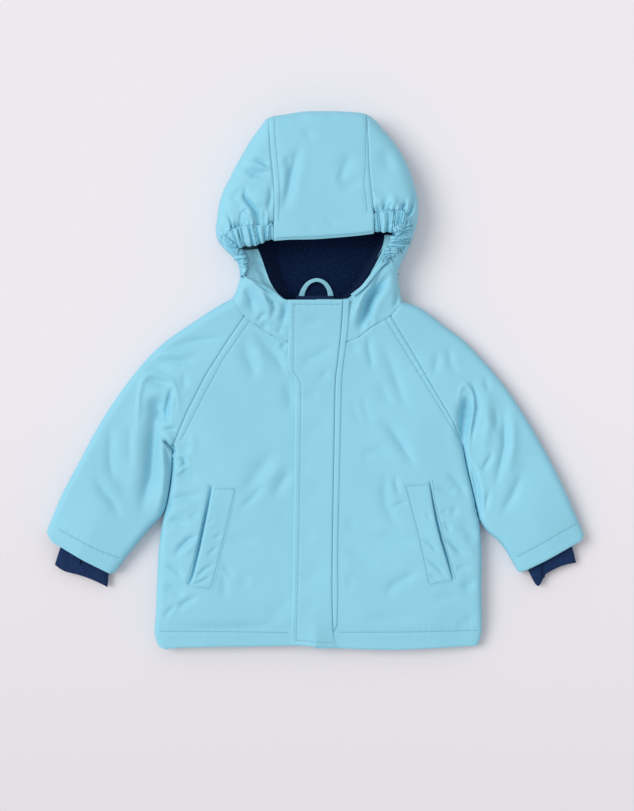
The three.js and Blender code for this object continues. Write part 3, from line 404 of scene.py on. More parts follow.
    ([(29, 250.5), (24, 235), (24.5, 219)], 5, 1),
    ([(8, 187), (17.5, 184.5), (27, 178)], 4, -0.8),
    ([(-15, 179), (3.5, 174.5)], 5, -0.7),
    ([(75.5, 207), (76, 207)], 5.6, 3),
    ([(91.5, 206), (92, 206)], 5.6, 3),
    ([(80.5, 206), (78.5, 195.5)], 2, -3),
    ([(87, 207), (87, 195.5)], 2, -3),
    ([(100.5, 199), (106.5, 206)], 2.1, -3),
    ([(116.5, 221), (114.5, 206), (110, 189.5)], 2.8, -5.25),
    ([(76, 270.5), (90, 237.5)], 9.8, -2.4),
    ([(-99.5, 206), (-88, 216.5), (-80.5, 223.5)], 5.6, -1.8),
    ([(-29, 299.5), (-17.5, 304), (-3.5, 305.5)], 7, -1.35),
    # neck
    ([(-35, 94), (-35.5, 80), (-38.5, 62)], 3.8, -4.4),
    ([(-44.5, 61), (-37.5, 59.5)], 3.9, -2.55),
    ([(-50.5, 86.5), (-49, 69)], 2.8, -3.06),
    ([(-54, 81), (-62.5, 76), (-68, 66)], 2.6, -2.3),
    ([(-62, 70), (-55, 58.5)], 3.9, -2.38),
    ([(90, 126), (76, 111), (66, 97), (61, 84), (56, 69.5), (52, 52)], 5.6, -13),
    ([(77, 128), (70, 113.5), (64, 96)], 2.6, -3.2),
    ([(97, 108), (95, 94), (90, 82)], 3.2, -3.8),
    ([(61, 84), (65.5, 70), (65, 58)], 2.4, -2.4),
    ([(-80, 120), (-63, 111), (-45, 98), (-36.5, 90)], 2, -3.8),
    ([(-65.5, 109), (-55, 89), (-45.5, 66.5)], 4.6, 3.4),
    ([(-84, 116), (-74, 96), (-71, 74)], 6.4, -5),
    ([(-60, 107), (-50, 92), (-44, 74)], 3, -3.4),
    ([(71, 119), (56, 100), (48, 82), (44, 60)], 4.4, 3.2),
]
FOLD_SHOULDER = 0.12  # height of the ridge beside a trough, as a share of its depth
FOLD_TAPER = 0.4  # share of a fold's length over which each end fades
FOLD_REACH = 3.5  # how far out a fold counts, in half widths
FOLD_CORE, CORE_WIDTH = 0.35, 0.6  # the sharper middle of a fold: its share and its width
SHOULDER_AT = 1.9  # place of the ridge beside a trough, in half widths
WANDER = 26  # size of the wandering that keeps the folds from being ruler straight

# Swells and creases of cloth that lies loosely: height, size, seed, turn, stretch
SWELLS = [(0.9, 70, 11, 0.7, 1.9), (0.5, 30, 12, -0.8, 2.4)]
CREASES = [(0.16, 13, 13, 0.9, 2.6)]
UNDER_SWELLS = [(1.3, 60, 31, 0.4, 1.8), (0.5, 24, 32, 0, 1)]
LINING_SWELLS = [(0.5, 34, 51, 0, 1), (0.25, 8, 52, 0, 1)]

# Folds of the facing inside the hood's opening
FACING_FOLDS = [
    ([(-81.5, 156), (-80, 145), (-78, 134.5)], 2.2, -2.5),
    ([(-74.5, 137), (-63.5, 140)], 2, -1.6),
    ([(-71.5, 134.5), (-62, 127), (-54.5, 118)], 2.2, -2.2),
    ([(-85, 125.5), (-76, 133.5)], 2, -1.8),
    ([(-70, 126), (-60, 112), (-50, 103)], 2.6, 1.8),
    ([(-66, 147), (-62, 138)], 2.4, 1.2),
]

# Folds of the knit cuffs
CUFF_FOLDS = [
    ([(-272.5, -207.5), (-275, -217)], 0.9, -3),
    ([(-287.5, -204), (-292, -218)], 3, -0.8),
    ([(264.5, -204), (267, -222), (268, -238)], 2.2, -2.6),
    ([(284, -200), (287, -216)], 3, -0.8),
]

# Rows of stitches on the panels, each row x, y
STITCHED = [
    [(-76, 70.5), (-108, 24.5), (-128, -13), (-157, -69)],
    [(81.5, 72), (134.5, -14), (166, -65.5)],
    [(-47.5, 306.5), (-46.5, 282), (-43.5, 251.5), (-42, 235), (-41, 217.5), (-42, 192), (-42.5, 185)],
    [(59.5, 309), (58, 275), (58, 251.5), (56, 228), (59, 203), (59.5, 194)],
    [(-181.5, -292.5), (-111, -292.5), (-31.5, -293.5)],
    [(27, -293.5), (99.5, -293), (190.5, -291.5)],
    [(-299.5, -173), (-254.5, -197), (-228, -207)],
    [(306, -166), (236.5, -205.5)],
    [(-123.5, -120), (-131, -161.5), (-141.5, -206), (-150, -236.5)],
    [(136.5, -116), (140, -142.5), (145, -162.5), (154.5, -200), (164, -231.5)],
]
# Rows of stitches along the brim of the hood, and across it where the elastic starts
STITCHED_BRIM = [
    [(-44, 164.5), (-17.5, 165.5), (3.5, 166), (41, 169), (66, 172)],
    [(66, 188), (66, 173)],
]
# Rows of stitches on the pocket welts
STITCHED_WELTS = [
    [(-93.5, -126), (-101.5, -162.5), (-109.5, -195), (-121.5, -241.5)],
    [(-118, -125.5), (-94, -126)],
    [(-146, -238.5), (-122, -242)],
    [(105.5, -122), (117, -166), (122, -186), (132.5, -236)],
    [(107, -122), (131, -121)],
    [(134, -237), (158, -232)],
]
# Rows of stitches on the storm flap
STITCHED_FLAP = [
    [
        (-24.5, 88.5), (-25, 48), (-25.5, 11.5), (-17, -1), (-17, -45.5), (-18.5, -162.5),
        (-20.5, -244.5), (-22, -303),
    ],
    [(-24.5, 88.5), (29.5, 88.5)],
    [(-22, -303), (21, -306)],
]
STITCH_PITCH, STITCH_LENGTH, STITCH_RADIUS = 2.7, 1.7, 0.34
PANEL_LIFT, BRIM_LIFT, FLAP_LIFT, WELT_LIFT = 0.35, 0.75, -0.3, 0.05

# Grooves of stitches and seams: depth, half width, height of the puckers
STITCH_GROOVE = (0.4, 1.9, 0.28)
SEAM_GROOVE = (1.0, 1.3, 0.3)
FLAP_GROOVE = (0.45, 1.4, 0.3)
WELT_GROOVE = (0.35, 1.5, 0.25)
PUCKER_PITCH, PUCKER_REACH = 8.5, 6.5


def smooth(low, high, value):
    t = np.clip((value - low) / (high - low), 0, 1)
    return t * t * (3 - 2 * t)


def mix(a, b, t):
    return a + (b - a) * t


def rounded(points):
    """Points of a centripetal Catmull-Rom curve through a few given ones."""
    p = np.array(points, float)
    p = np.vstack([2 * p[0] - p[1], p, 2 * p[-1] - p[-2]])
    segments = len(points) - 1
    steps = len(points) * ROUNDED_STEPS
    out = []
    for step in range(steps + 1):
        place = segments * step / steps
        i = min(int(place), segments - 1)
        t = place - i
        a, b, c, d = p[i : i + 4]
        ab, bc, cd = (math.sqrt(np.linalg.norm(v - u)) for u, v in ((a, b), (b, c), (c, d)))
        out_b = ((b - a) / ab - (c - a) / (ab + bc) + (c - b) / bc) * bc
        into_c = ((c - b) / bc - (d - b) / (bc + cd) + (d - c) / cd) * bc
        curve = (-3 * b + 3 * c - 2 * out_b - into_c) * t**2 + (2 * b - 2 * c + out_b + into_c) * t**3
        out.append(b + out_b * t + curve)
    return np.array(out)


def marks_of(line):
    return np.concatenate([[0], np.cumsum(np.hypot(*np.diff(line, axis=0).T))])


def at(line, share):
    """Points of a line at shares of its length."""
    line = np.asarray(line, float)
    marks = marks_of(line)
    along = np.clip(share, 0, 1) * marks[-1]
    return np.stack([np.interp(along, marks, line[:, k]) for k in (0, 1)], -1)


def joined(*parts):
    return np.vstack([np.asarray(part, float) for part in parts])


def rows_of(table, places, bounded=False):
    """Rows of a table at fractional places, on a smooth curve through its rows."""
    t = np.array(table, float)
    i = np.clip(np.floor(places).astype(int), 0, len(t) - 2)
    s = (places - i)[:, None]
    before, a, b, after = (t[np.clip(i + k, 0, len(t) - 1)] for k in (-1, 0, 1, 2))
    into_a = (b - before) / 2
    into_b = (after - a) / 2
    curve = (
        a * (2 * s**3 - 3 * s**2 + 1) + into_a * (s**3 - 2 * s**2 + s)
        + b * (3 * s**2 - 2 * s**3) + into_b * (s**3 - s**2)
    )
    return np.clip(curve, np.minimum(a, b), np.maximum(a, b)) if bounded else curve


def nearest(xy, line):
    """Distance from each point to a line, and how far along it the nearest point is."""
    best = np.full(xy.shape[:-1], 1e9)
    along = np.zeros(xy.shape[:-1])
    done = 0.0
    for (x0, y0), (x1, y1) in zip(line[:-1], line[1:]):
        size = math.hypot(x1 - x0, y1 - y0)
        dx, dy = (x1 - x0) / size, (y1 - y0) / size
        t = np.clip((xy[..., 0] - x0) * dx + (xy[..., 1] - y0) * dy, 0, size)
        distance = np.hypot(xy[..., 0] - x0 - t * dx, xy[..., 1] - y0 - t * dy)
        near = distance < best
        best = np.where(near, distance, best)
        along = np.where(near, done + t, along)
        done += size
    return best, along


def nearest_of(xy, lines):
    return np.min([nearest(xy, line)[0] for line in lines], axis=0)


def noise(xy, size, seed, turn=0.0, stretch=1.0):
    """Smooth random field from -1 to 1, with features of one size, longer along one direction."""
    lattice = np.random.RandomState(seed).uniform(-1, 1, (97, 97))
    c, s = math.cos(turn), math.sin(turn)
    u = (xy[..., 0] * c + xy[..., 1] * s) / (size * stretch) + 41.3
    v = (xy[..., 1] * c - xy[..., 0] * s) / size + 37.7
    i, j = np.floor(u).astype(int), np.floor(v).astype(int)
    s, t = smooth(0, 1, u - i), smooth(0, 1, v - j)
    i, j = i % 96, j % 96
    low = mix(lattice[i, j], lattice[i + 1, j], s)
    high = mix(lattice[i, j + 1], lattice[i + 1, j + 1], s)
    return mix(low, high, t)


hood_fold = rounded(
    [row[:2] for row in reversed(HOOD_SIDE_RIGHT)] + CROWN[1:-1] + [row[:2] for row in HOOD_SIDE_LEFT]
)
outer_right, outer_left = rounded(OUTER_RIGHT), rounded(OUTER_LEFT)
inner_right, inner_left = rounded(INNER_RIGHT), rounded(INNER_LEFT)
side_right, side_left = rounded(SIDE_RIGHT), rounded(SIDE_LEFT)
FOLDED_EDGES = [side_right, side_left, outer_right, outer_left, inner_right, inner_left, hood_fold]
OPEN_EDGES = [HEM_RIGHT, HEM_LEFT, WRIST_RIGHT, WRIST_LEFT]


def seam_on(table):
    """The seam between the hood's centre and a side, from the casing up."""
    return rows_of(table, np.linspace(0, SEAM_ROWS, 40))[::-1, 2:4]


SEAM_LINES = [
    RAGLAN_RIGHT, RAGLAN_LEFT, rounded(NECK_RIGHT)[2:], rounded(NECK_LEFT)[2:],
    joined(seam_on(HOOD_SIDE_RIGHT), CROWN[:1]), joined(seam_on(HOOD_SIDE_LEFT), CROWN[-1:]),
]


def wrinkles(xy, folds=FOLDS):
    """Height of the listed folds, with a little wandering so that none is ruler straight."""
    bent = xy + np.stack([noise(xy, WANDER, 5), noise(xy, WANDER, 6)], -1)
    height = np.zeros(xy.shape[:-1])
    for points, half, rise in folds:
        line = np.array(points, float)
        reach = FOLD_REACH * half
        near = np.all((bent > line.min(0) - reach) & (bent < line.max(0) + reach), axis=-1)
        distance, along = nearest(bent[near], line)
        full = marks_of(line)[-1]
        share = along / full
        fade = smooth(0, FOLD_TAPER, share) * smooth(0, FOLD_TAPER, 1 - share) if full > 1 else 1
        wide = np.exp(-((distance / half) ** 2))
        sharp = np.exp(-((distance / (CORE_WIDTH * half)) ** 2))
        core = mix(wide, sharp, FOLD_CORE)
        shoulder = FOLD_SHOULDER * np.exp(-(((distance - SHOULDER_AT * half) / half) ** 2))
        height[near] += rise * fade * (core - shoulder)
    return height


def uneven(xy, fields):
    """Sum of a few random fields, each height, size, seed, turn, stretch."""
    return sum(height * noise(xy, *field) for height, *field in fields)


def unrest(xy):
    """Soft, slanting swells of cloth that lies loosely, and small creases in parts of it."""
    return uneven(xy, SWELLS) + uneven(xy, CREASES) * smooth(-0.2, 0.6, noise(xy, 60, 14))


def sewn(xy, lines, depth, half, pucker):
    """Grooves that rows of stitches pull into the cloth, with small puckers across them."""
    height = np.zeros(xy.shape[:-1])
    for line in lines:
        distance, along = nearest(xy, line)
        wave = np.sin(along * 2 * np.pi / PUCKER_PITCH + 2.2 * noise(xy, 21, 21)) * noise(xy, 14, 22)
        height += pucker * wave * np.exp(-((distance / PUCKER_REACH) ** 2))
        height -= depth * np.exp(-((distance / half) ** 2))
    return height


def hem_band(xy):
    """The turned hem lies a little higher; the soft trough along its stitches comes from the stitched rows
    in skin.
    """
    distance = nearest_of(xy, OPEN_EDGES[:2])
    return HEM_RAISE * (1 - smooth(HEM_WIDTH - 2, HEM_WIDTH + 1.5, distance))


def slits(xy):
    """Depth of the pocket openings, which gape in the middle and close at both ends."""
    depth = np.zeros(xy.shape[:-1])
    for line in SLITS:
        distance, along = nearest(xy, line)
        gape = np.sin(np.pi * along / marks_of(np.array(line))[-1]) ** 0.7
        depth += SLIT_DEPTH * (0.35 + 0.65 * gape) * np.exp(-((distance / SLIT_HALF) ** 2))
    return depth


def skin(xy, side, seam=0.0, sewing=True):
    """Points of the top layer's outer surface, side 1, or the bottom layer's, side -1."""
    y = xy[..., 1]
    lift = smooth(HOOD_START_Y, HOOD_FULL_Y, y)
    mid = mix(BODY_MID, HOOD_MID, lift)
    distance = nearest_of(xy, FOLDED_EDGES)
    if side > 0:
        open_edge = nearest_of(xy, OPEN_EDGES)
        top = mix(BODY_TOP, HOOD_TOP, lift) + DOME_RISE * smooth(0, DOME_REACH, distance)
        top += wrinkles(xy) + unrest(xy) - HEM_DROP * np.exp(-((open_edge / HEM_REACH) ** 2))
        if sewing:
            top += sewn(xy, STITCHED, *STITCH_GROOVE) + sewn(xy, SEAM_LINES, *SEAM_GROOVE)
            top += hem_band(xy) - slits(xy)
        top -= HEM_LOWER * np.exp(-((nearest_of(xy, OPEN_EDGES[:2]) / HEM_REACH) ** 2))
        rise, around = top - mid - seam, mix(BODY_ROUND, HOOD_ROUND, lift)
    else:
        rise, around = mid - seam, mid * UNDER_ROUND
    inward = np.clip((distance - SEAM) / around, 0, 1)
    up = (1 - (1 - inward) ** EDGE_POWER) ** (1 / EDGE_POWER)
    z = mid + side * (seam + rise * up)
    if side < 0:
        z += np.maximum(0, uneven(xy, UNDER_SWELLS)) * smooth(0.7, 1, up)
    return np.concatenate([xy, z[..., None]], -1)


def normals_of(grid, outward, ring=False):
    """Unit normals of a grid. outward is 1 up, -1 down, 0 away from the middle of a flattened tube."""
    across = np.roll(grid, -1, 1) - np.roll(grid, 1, 1) if ring else np.gradient(grid, axis=1)
    normal = np.cross(across, np.gradient(grid, axis=0))
    normal /= np.maximum(np.linalg.norm(normal, axis=-1, keepdims=True), 1e-9)
    if outward:
        return normal * np.sign(normal[..., 2].sum() * outward)
    away = grid[..., 2] - grid[..., 2].mean()
    return normal * np.sign((normal[..., 2] * away).sum())


def make_mesh(name, points, faces, material, sharp=50):
    """A smooth-shaded object from points in millimetres. Edges sharper than the angle stay sharp."""
    mesh = bpy.data.meshes.new(name)
    mesh.from_pydata(points * MM, [], faces)
    mesh.materials.append(material)
    mesh.shade_smooth()
    mesh.set_sharp_from_angle(angle=math.radians(sharp))
    piece = bpy.data.objects.new(name, mesh)
    bpy.context.scene.collection.objects.link(piece)
    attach(piece, "root")
    return piece


def shell(name, grid, thickness, material, outward=1, ring=False):
    """A closed wall from a grid of outer points. thickness may differ from point to point."""
    rows, columns = grid.shape[:2]
    thick = np.broadcast_to(thickness, (rows, columns))[..., None]
    inner = grid - normals_of(grid, outward, ring) * thick
    inner[..., 2] = np.maximum(inner[..., 2], LYING)
    points = np.concatenate([grid.reshape(-1, 3), inner.reshape(-1, 3)])
    index = np.arange(rows * columns).reshape(rows, columns)
    if ring:
        index = np.concatenate([index, index[:, :1]], 1)
    shift = rows * columns
    a, b, c, d = index[:-1, :-1], index[:-1, 1:], index[1:, 1:], index[1:, :-1]
    faces = [np.stack([a, b, c, d], -1).reshape(-1, 4)]
    faces.append(faces[0][:, ::-1] + shift)
    edges = [index[0][::-1], index[-1]]
    if not ring:
        edges += [index[:, 0], index[::-1, -1]]
    for edge in edges:
        faces.append(np.stack([edge[:-1], edge[1:], edge[1:] + shift, edge[:-1] + shift], -1))
    faces = np.concatenate(faces)
    p = points[faces]
    volume = np.einsum("ij,ij->i", p[:, 0], np.cross(p[:, 1], p[:, 2]) + np.cross(p[:, 2], p[:, 3])).sum()
    if volume < 0:
        faces = faces[:, ::-1]
    return make_mesh(name, points, faces, material)


def stray(line, share):
    from_, to = at(line, 0), at(line, 1)
    return at(line, share) - mix(from_, to, np.asarray(share)[:, None])


def patch(start, end, shares, places, low=None, high=None):
    """Plan points of a four sided patch, whose rows bend toward its low and high edge."""
    v = places[:, None, None]
    a, b = at(start, places)[:, None], at(end, places)[:, None]
    plan = mix(a, b, shares[None, :, None])
    if low is not None:
        plan = plan + (1 - v) ** 2 * stray(low, shares)[None]
    if high is not None:
        plan = plan + v**3 * stray(high, shares)[None]
    return plan


def spread(size, near_start, near_end, step=STEP):
    """Shares of a length: given distances from each end, and even steps between."""
    start = np.array(near_start) / size
    end = 1 - np.array(near_end)[::-1] / size
    count = max(2, round((end[0] - start[-1]) * size / step))
    return np.concatenate([start, np.linspace(start[-1], end[0], count + 1)[1:-1], end])


def length_of(line):
    return marks_of(np.asarray(line, float))[-1]


def turned_edge(grid, line, radius=3.0, drop=1.6):
    """Lets a panel's surface roll down toward an open edge, as a turned hem does."""
    distance = nearest(grid[..., :2], line)[0]
    out = grid.copy()
    out[..., 2] -= drop * np.clip(1 - distance / radius, 0, 1) ** 2
    return out


def finer(shares, low, high):
    """The same shares, with one more between each two in one range."""
    middle = (shares[1:] + shares[:-1]) / 2
    return np.sort(np.concatenate([shares, middle[(middle > low) & (middle < high)]]))


def front(name, side, raglan, hem, neck, material):
    armhole = joined(rounded(side)[::-1], raglan[::-1])
    centre = joined([(0, hem[-1][1])], [(0, neck[-1][1])])
    low = joined(hem, centre[:1])
    shares = finer(spread(length_of(low), EDGE_STEPS, SEAM_STEPS), *WELT_SHARES)
    places = spread(length_of(armhole), SEAM_STEPS, SEAM_STEPS)
    plan = patch(armhole, centre, shares, places, low, neck[1:])
    grid = turned_edge(skin(plan, 1, SEAM), low)
    return shell(name, grid, CLOTH, material)


def back(material):
    start = joined(side_right[::-1], NECK_BACK[1:2])
    end = joined(side_left[::-1], NECK_BACK[-2:-1])
    low = joined(HEM_RIGHT, HEM_LEFT[::-1])
    shares = spread(length_of(low), EDGE_STEPS, EDGE_STEPS, STEP * 2.2)
    places = spread(length_of(start), SEAM_STEPS, SEAM_STEPS, STEP * 2.2)
    plan = patch(start, end, shares, places, low, NECK_BACK[1:-1])
    return shell("coat_back", skin(plan, -1, SEAM), CLOTH, material, outward=-1)


def sleeve(name, outer, inner, neck, raglan, side, wrist, back_neck, material):
    top_edge = joined(neck[:1], raglan)
    bottom_edge = joined(neck[:1], [back_neck], raglan[-1:])
    shares = spread(SLEEVE_WIDTH, EDGE_STEPS, EDGE_STEPS)
    places = spread(SLEEVE_LENGTH, SEAM_STEPS, SEAM_STEPS)
    top = turned_edge(skin(patch(outer, inner, shares, places, top_edge, wrist), 1), wrist)
    armhole = joined(raglan, side[1:])[::-1]
    over = (top[..., 0] - np.interp(top[..., 1], armhole[:, 1], armhole[:, 0])) * -np.sign(side[0][0])
    top[..., 2] -= UNDER_FRONT * smooth(-0.4, 0.7, over)
    bottom = skin(patch(outer, inner, shares, places, bottom_edge, wrist), -1)
    grid = np.concatenate([top, bottom[:, -2:0:-2]], 1)
    return shell(name, grid, CLOTH, material, outward=0, ring=True)


def gather_turns(table, gathers, xy):
    """Phase of the gathers at points near the casing's stitched line, and the distance from it."""
    count, first, last, _, _ = gathers
    line = rows_of(table, np.linspace(0, len(table) - 1, 160))[:, :2]
    distance, along = nearest(xy, line)
    marks = marks_of(line)
    place = np.interp(along, marks, np.linspace(0, len(table) - 1, len(line)))
    return count * (place - first) / (last - first), distance


def puffs(turns, count):
    """Rounded puffs with narrow creases between, from 0 to 1, each a little different."""
    shifted = turns + 0.3 * np.sin(turns * 1.9 + 0.7) + 0.13 * np.sin(turns * 4.3)
    size = 0.72 + 0.28 * np.sin(np.floor(shifted) * 2.4)
    inside = smooth(-0.3, 0.4, turns) * smooth(-0.3, 0.4, count - turns)
    return np.abs(np.sin(np.pi * shifted)) ** PUFF_POWER * size * inside


def hood_side(name, table, neck, outward, under, casing, gathers, material):
    count = len(table) - 1
    places = np.linspace(SIDE_END, count - SIDE_END, round(SIDE_LENGTH / STEP))
    ax, ay, cx, cy = rows_of(table, places, bounded=True).T[:, :, None]
    end_x = cx + outward * SEAM
    length = np.hypot(end_x - ax, cy - ay)
    bend = np.maximum(0, (places[:, None] - (count - NECK_ROWS)) / NECK_ROWS) ** NECK_BEND
    share = np.linspace(0, 1, round(SIDE_WIDTH / STEP))[None, :] ** 1.35
    u = mix(SEAM / length, 1 - SEAM / length, share)
    curve = at(rounded(neck), u)
    chord_x = mix(neck[0][0], neck[-1][0], u)
    chord_y = mix(neck[0][1], neck[-1][1], u)
    x = mix(ax, end_x, u) + bend * (curve[..., 0] - chord_x)
    y = mix(ay, cy, u) + bend * (curve[..., 1] - chord_y)
    top = skin(np.stack([x, y], -1), 1)
    puff_count, _, _, height, reach = gathers
    turns, distance = gather_turns(casing, gathers, top[..., :2])
    wander = 0.35 * noise(top[..., :2], 11, 23)
    small = (puffs(turns + wander, puff_count) - 0.5) * np.exp(-((distance / SMALL_REACH) ** 2))
    large = puffs((turns + 2 * wander) / JOINED_PUFFS, puff_count / JOINED_PUFFS) - 0.5
    large *= np.exp(-((distance / reach) ** 1.3))
    from_fold = nearest(top[..., :2], hood_fold)[0]
    top[..., 2] += height * (0.7 * small + 0.75 * large) * smooth(0, 6, from_fold)
    dx, dy = at(under, places / count).T[:, :, None]
    w = np.linspace(0, 1, round(SIDE_UNDER / STEP))[None, 1:] ** 1.6
    bottom = skin(np.stack([mix(ax, dx + outward * SEAM, w), mix(ay, dy, w)], -1), -1)
    grid = np.concatenate([bottom[:, ::-1], top], 1)
    return shell(name, grid, CLOTH, material, outward=0)


def hood_centre(material):
    right, left = SEAM_LINES[4], SEAM_LINES[5]
    casing = rows_of(CASING_BRIM, np.linspace(0, len(CASING_BRIM) - 1, 40))[:, :2]
    shares = spread(CENTRE_WIDTH, SEAM_STEPS, SEAM_STEPS)
    places = spread(CENTRE_TOP, BRIM_STEPS, CROWN_STEPS)
    top = skin(patch(right, left, shares, places, casing, CROWN), 1)
    under_right = joined(CROWN[:1], UNDER_RIGHT)[::-1]
    under_left = joined(CROWN[-1:], UNDER_LEFT)[::-1]
    neck = [UNDER_RIGHT[-1], NECK_BACK[3], UNDER_LEFT[-1]]
    down = 1 - spread(CENTRE_UNDER, NECK_STEPS, [SEAM], STEP * 1.5)
    bottom = skin(patch(under_right, under_left, shares, down, neck, CROWN), -1)
    return shell("coat_hood_centre", np.concatenate([top, bottom]), CLOTH, material, outward=0)


def casing(name, table, gathers, material):
    """Turned strip along the opening: a soft tube whose free edge curls under."""
    count = len(table) - 1
    fine = STEP * (CASING_FINE if gathers else 1)
    places = np.linspace(CASING_END, count - CASING_END, round(CASING_LENGTH / fine))
    rows = rows_of(table, places)
    outer, free = rows[:, None, :2], rows[:, None, 2:4]
    length = np.linalg.norm(free - outer, axis=-1)
    share = np.linspace(0, 1, CASING_COLUMNS)[None, :]
    u = (np.maximum(share, SEAM / length) if gathers else share + 0 * length)[..., None]
    plan = mix(outer, free, u)
    body = np.sin(np.pi * np.clip(share * 0.75 + 0.12, 0, 1))
    rise = (1.2 * (body - 0.36) - 2.6 * smooth(0.7, 1.05, share) ** 2) * smooth(1, 9, length)
    if gathers:
        puff_count, first, last, height, _ = gathers
        turns = (puff_count * (places - first) / (last - first))[:, None]
        turns = turns + 0.16 * np.sin(3 * share + places[:, None] * 2.1)
        puff = (puffs(turns, puff_count) - 0.55) * smooth(0, 9, length)
        rise = rise + height * puff * (0.6 + 0.4 * share) * smooth(0, 0.12, share)
        plan = plan + (free - outer) / length[..., None] * (SCALLOP * puff * share**2)[..., None]
    flat = skin(plan, 1)
    grid = flat + normals_of(flat, 1) * rise[..., None]
    wall = np.minimum(TURNED_EDGE, 1.2 + length * 0.25)
    return shell(name, grid, wall, material)


def facing(name, table, material):
    rows = rows_of(table, np.linspace(0, len(table) - 1, round(FACING_LENGTH / STEP * 1.5)))
    upper, lower = rows[:, None, :2], rows[:, None, 2:4]
    high = skin(upper, 1, sewing=False)[..., 2] - FACING_DROP
    u = np.linspace(0, 1, FACING_COLUMNS)[None, :]
    xy = mix(upper, lower, u[..., None])
    z = mix(high, FACING_LOW, smooth(0, 1, u))
    z = z + 0.4 * noise(xy, 9, 41, 0.9, 2.2) + wrinkles(xy, FACING_FOLDS)
    return shell(name, np.concatenate([xy, z[..., None]], -1), FACING, material)


def hood_lining(material):
    rows = rows_of(LINING, np.linspace(0, len(LINING) - 1, round(LINING_SIZE / STEP)))
    rx, ry, lx, ly, right_wall, left_wall = rows.T[:, :, None]
    width = np.hypot(lx - rx, ly - ry)
    u = np.linspace(0, 1, round(LINING_SIZE / STEP))[None, :]
    right = right_wall * (1 - smooth(0, LINING_WALL_RIGHT, u * width))
    left = left_wall * (1 - smooth(0, LINING_WALL_LEFT, (1 - u) * width))
    xy = np.stack([mix(rx, lx, u), mix(ry, ly, u)], -1)
    floor = CLOTH + LYING + FLEECE
    z = floor + right + left + uneven(xy, LINING_SWELLS) + 0.35
    return shell("coat_hood_lining", np.concatenate([xy, z[..., None]], -1), FLEECE, material)


def strip_grid(table, thickness, across, along, roll=2.0, lines=()):
    """A strip that lies on the front, its long edges and ends rolled down a little."""
    rows = rows_of(table, np.linspace(0, len(table) - 1, along))
    left, right = rows[:, None, :2], rows[:, None, 2:4]
    width = np.linalg.norm(right - left, axis=-1)
    u = np.linspace(0, 1, across)[None, :]
    u = 0.5 - 0.5 * np.cos(np.pi * u) * (0.35 + 0.65 * np.abs(np.cos(np.pi * u)) ** 0.5)
    u = (u - u.min()) / (u.max() - u.min())
    xy = mix(left, right, u[..., None])
    grid = skin(xy, 1, sewing=False)
    marks = marks_of(rows[:, :2])[:, None]
    inside = np.minimum(np.minimum(u * width, (1 - u) * width), np.minimum(marks, marks[-1] - marks))
    lower = thickness * 0.75 * np.clip(1 - inside / roll, 0, 1) ** 2
    height = ON_TOP + thickness - lower + sewn(xy, lines, *FLAP_GROOVE)
    return grid + normals_of(grid, 1) * height[..., None]


def storm_flap(material):
    across, along = round(FLAP_WIDTH / STEP) + 12, round(FLAP_LENGTH / STEP)
    grid = strip_grid(FLAP, FLAP_CLOTH, across, along, lines=STITCHED_FLAP)
    return shell("coat_storm_flap", grid, FLAP_CLOTH, material)


def flap_band(material):
    grid = strip_grid(BAND, BAND_CLOTH, 12, round(BAND_LENGTH / STEP), roll=1.6)
    return shell("coat_flap_band", grid, BAND_CLOTH, material)


def welt(name, table, material):
    """Its sewn edges lie on the coat, and its free edge stands up a little beside the slit."""
    rows = rows_of(table, np.linspace(0, len(table) - 1, round(WELT_LENGTH / STEP * 1.5)))
    u = np.linspace(0, 1, round(WELT_WIDTH / STEP * 1.5) + 8)[None, :]
    xy = mix(rows[:, None, :2], rows[:, None, 2:4], u[..., None])
    v = np.linspace(0, 1, len(rows))[:, None]
    stand = WELT_STAND * (1 - smooth(0, 0.8, u)) * np.sin(np.pi * v) ** 0.6
    roll = np.exp(-((u * WELT_WIDTH / 1.2) ** 2)) * 0.8
    grid = skin(xy, 1, sewing=False)
    grid[..., 2] += WELT_LOW + stand - roll + sewn(xy, STITCHED_WELTS, *WELT_GROOVE)
    return shell(name, grid, WELT_CLOTH, material)


def hanging_loop(material):
    path = rounded(LOOP)
    share = np.linspace(0, 1, 60)
    middle = at(path, share)
    along = np.gradient(middle, axis=0)
    along /= np.linalg.norm(along, axis=1, keepdims=True)
    side = np.stack([-along[:, 1], along[:, 0]], -1)
    u = np.linspace(-1, 1, 9)
    width = mix(LOOP_WIDTH, LOOP_WIDTH_TOP, np.sin(np.pi * share))[:, None, None]
    xy = middle[:, None] + side[:, None] * (u[None, :, None] * width / 2)
    low = CLOTH + LYING + FLEECE + LYING + CLOTH
    z = low + 2.6 * np.sin(np.pi * share)[:, None] ** 1.5 + 0.5 * np.sqrt(1 - 0.9 * u[None, :] ** 2)
    return shell("coat_hanging_loop", np.concatenate([xy, z[..., None]], -1), CLOTH, material)


def neck_label(material):
    low = CLOTH + LYING + FLEECE + LYING + CLOTH + LYING
    x = np.linspace(-LABEL_WIDTH / 2, LABEL_WIDTH / 2, 40)
    y = np.linspace(LABEL_Y - LABEL_LENGTH / 2, LABEL_Y + LABEL_LENGTH / 2, 8)
    xy = np.stack(np.meshgrid(x, y), -1)
    z = low + LABEL_THICK + 0.35 * np.sin(xy[..., 0] * 0.12 + 0.6) + 0.2 * noise(xy, 9, 61)
    return shell("coat_neck_label", np.concatenate([xy, z[..., None]], -1), LABEL_THICK, material)


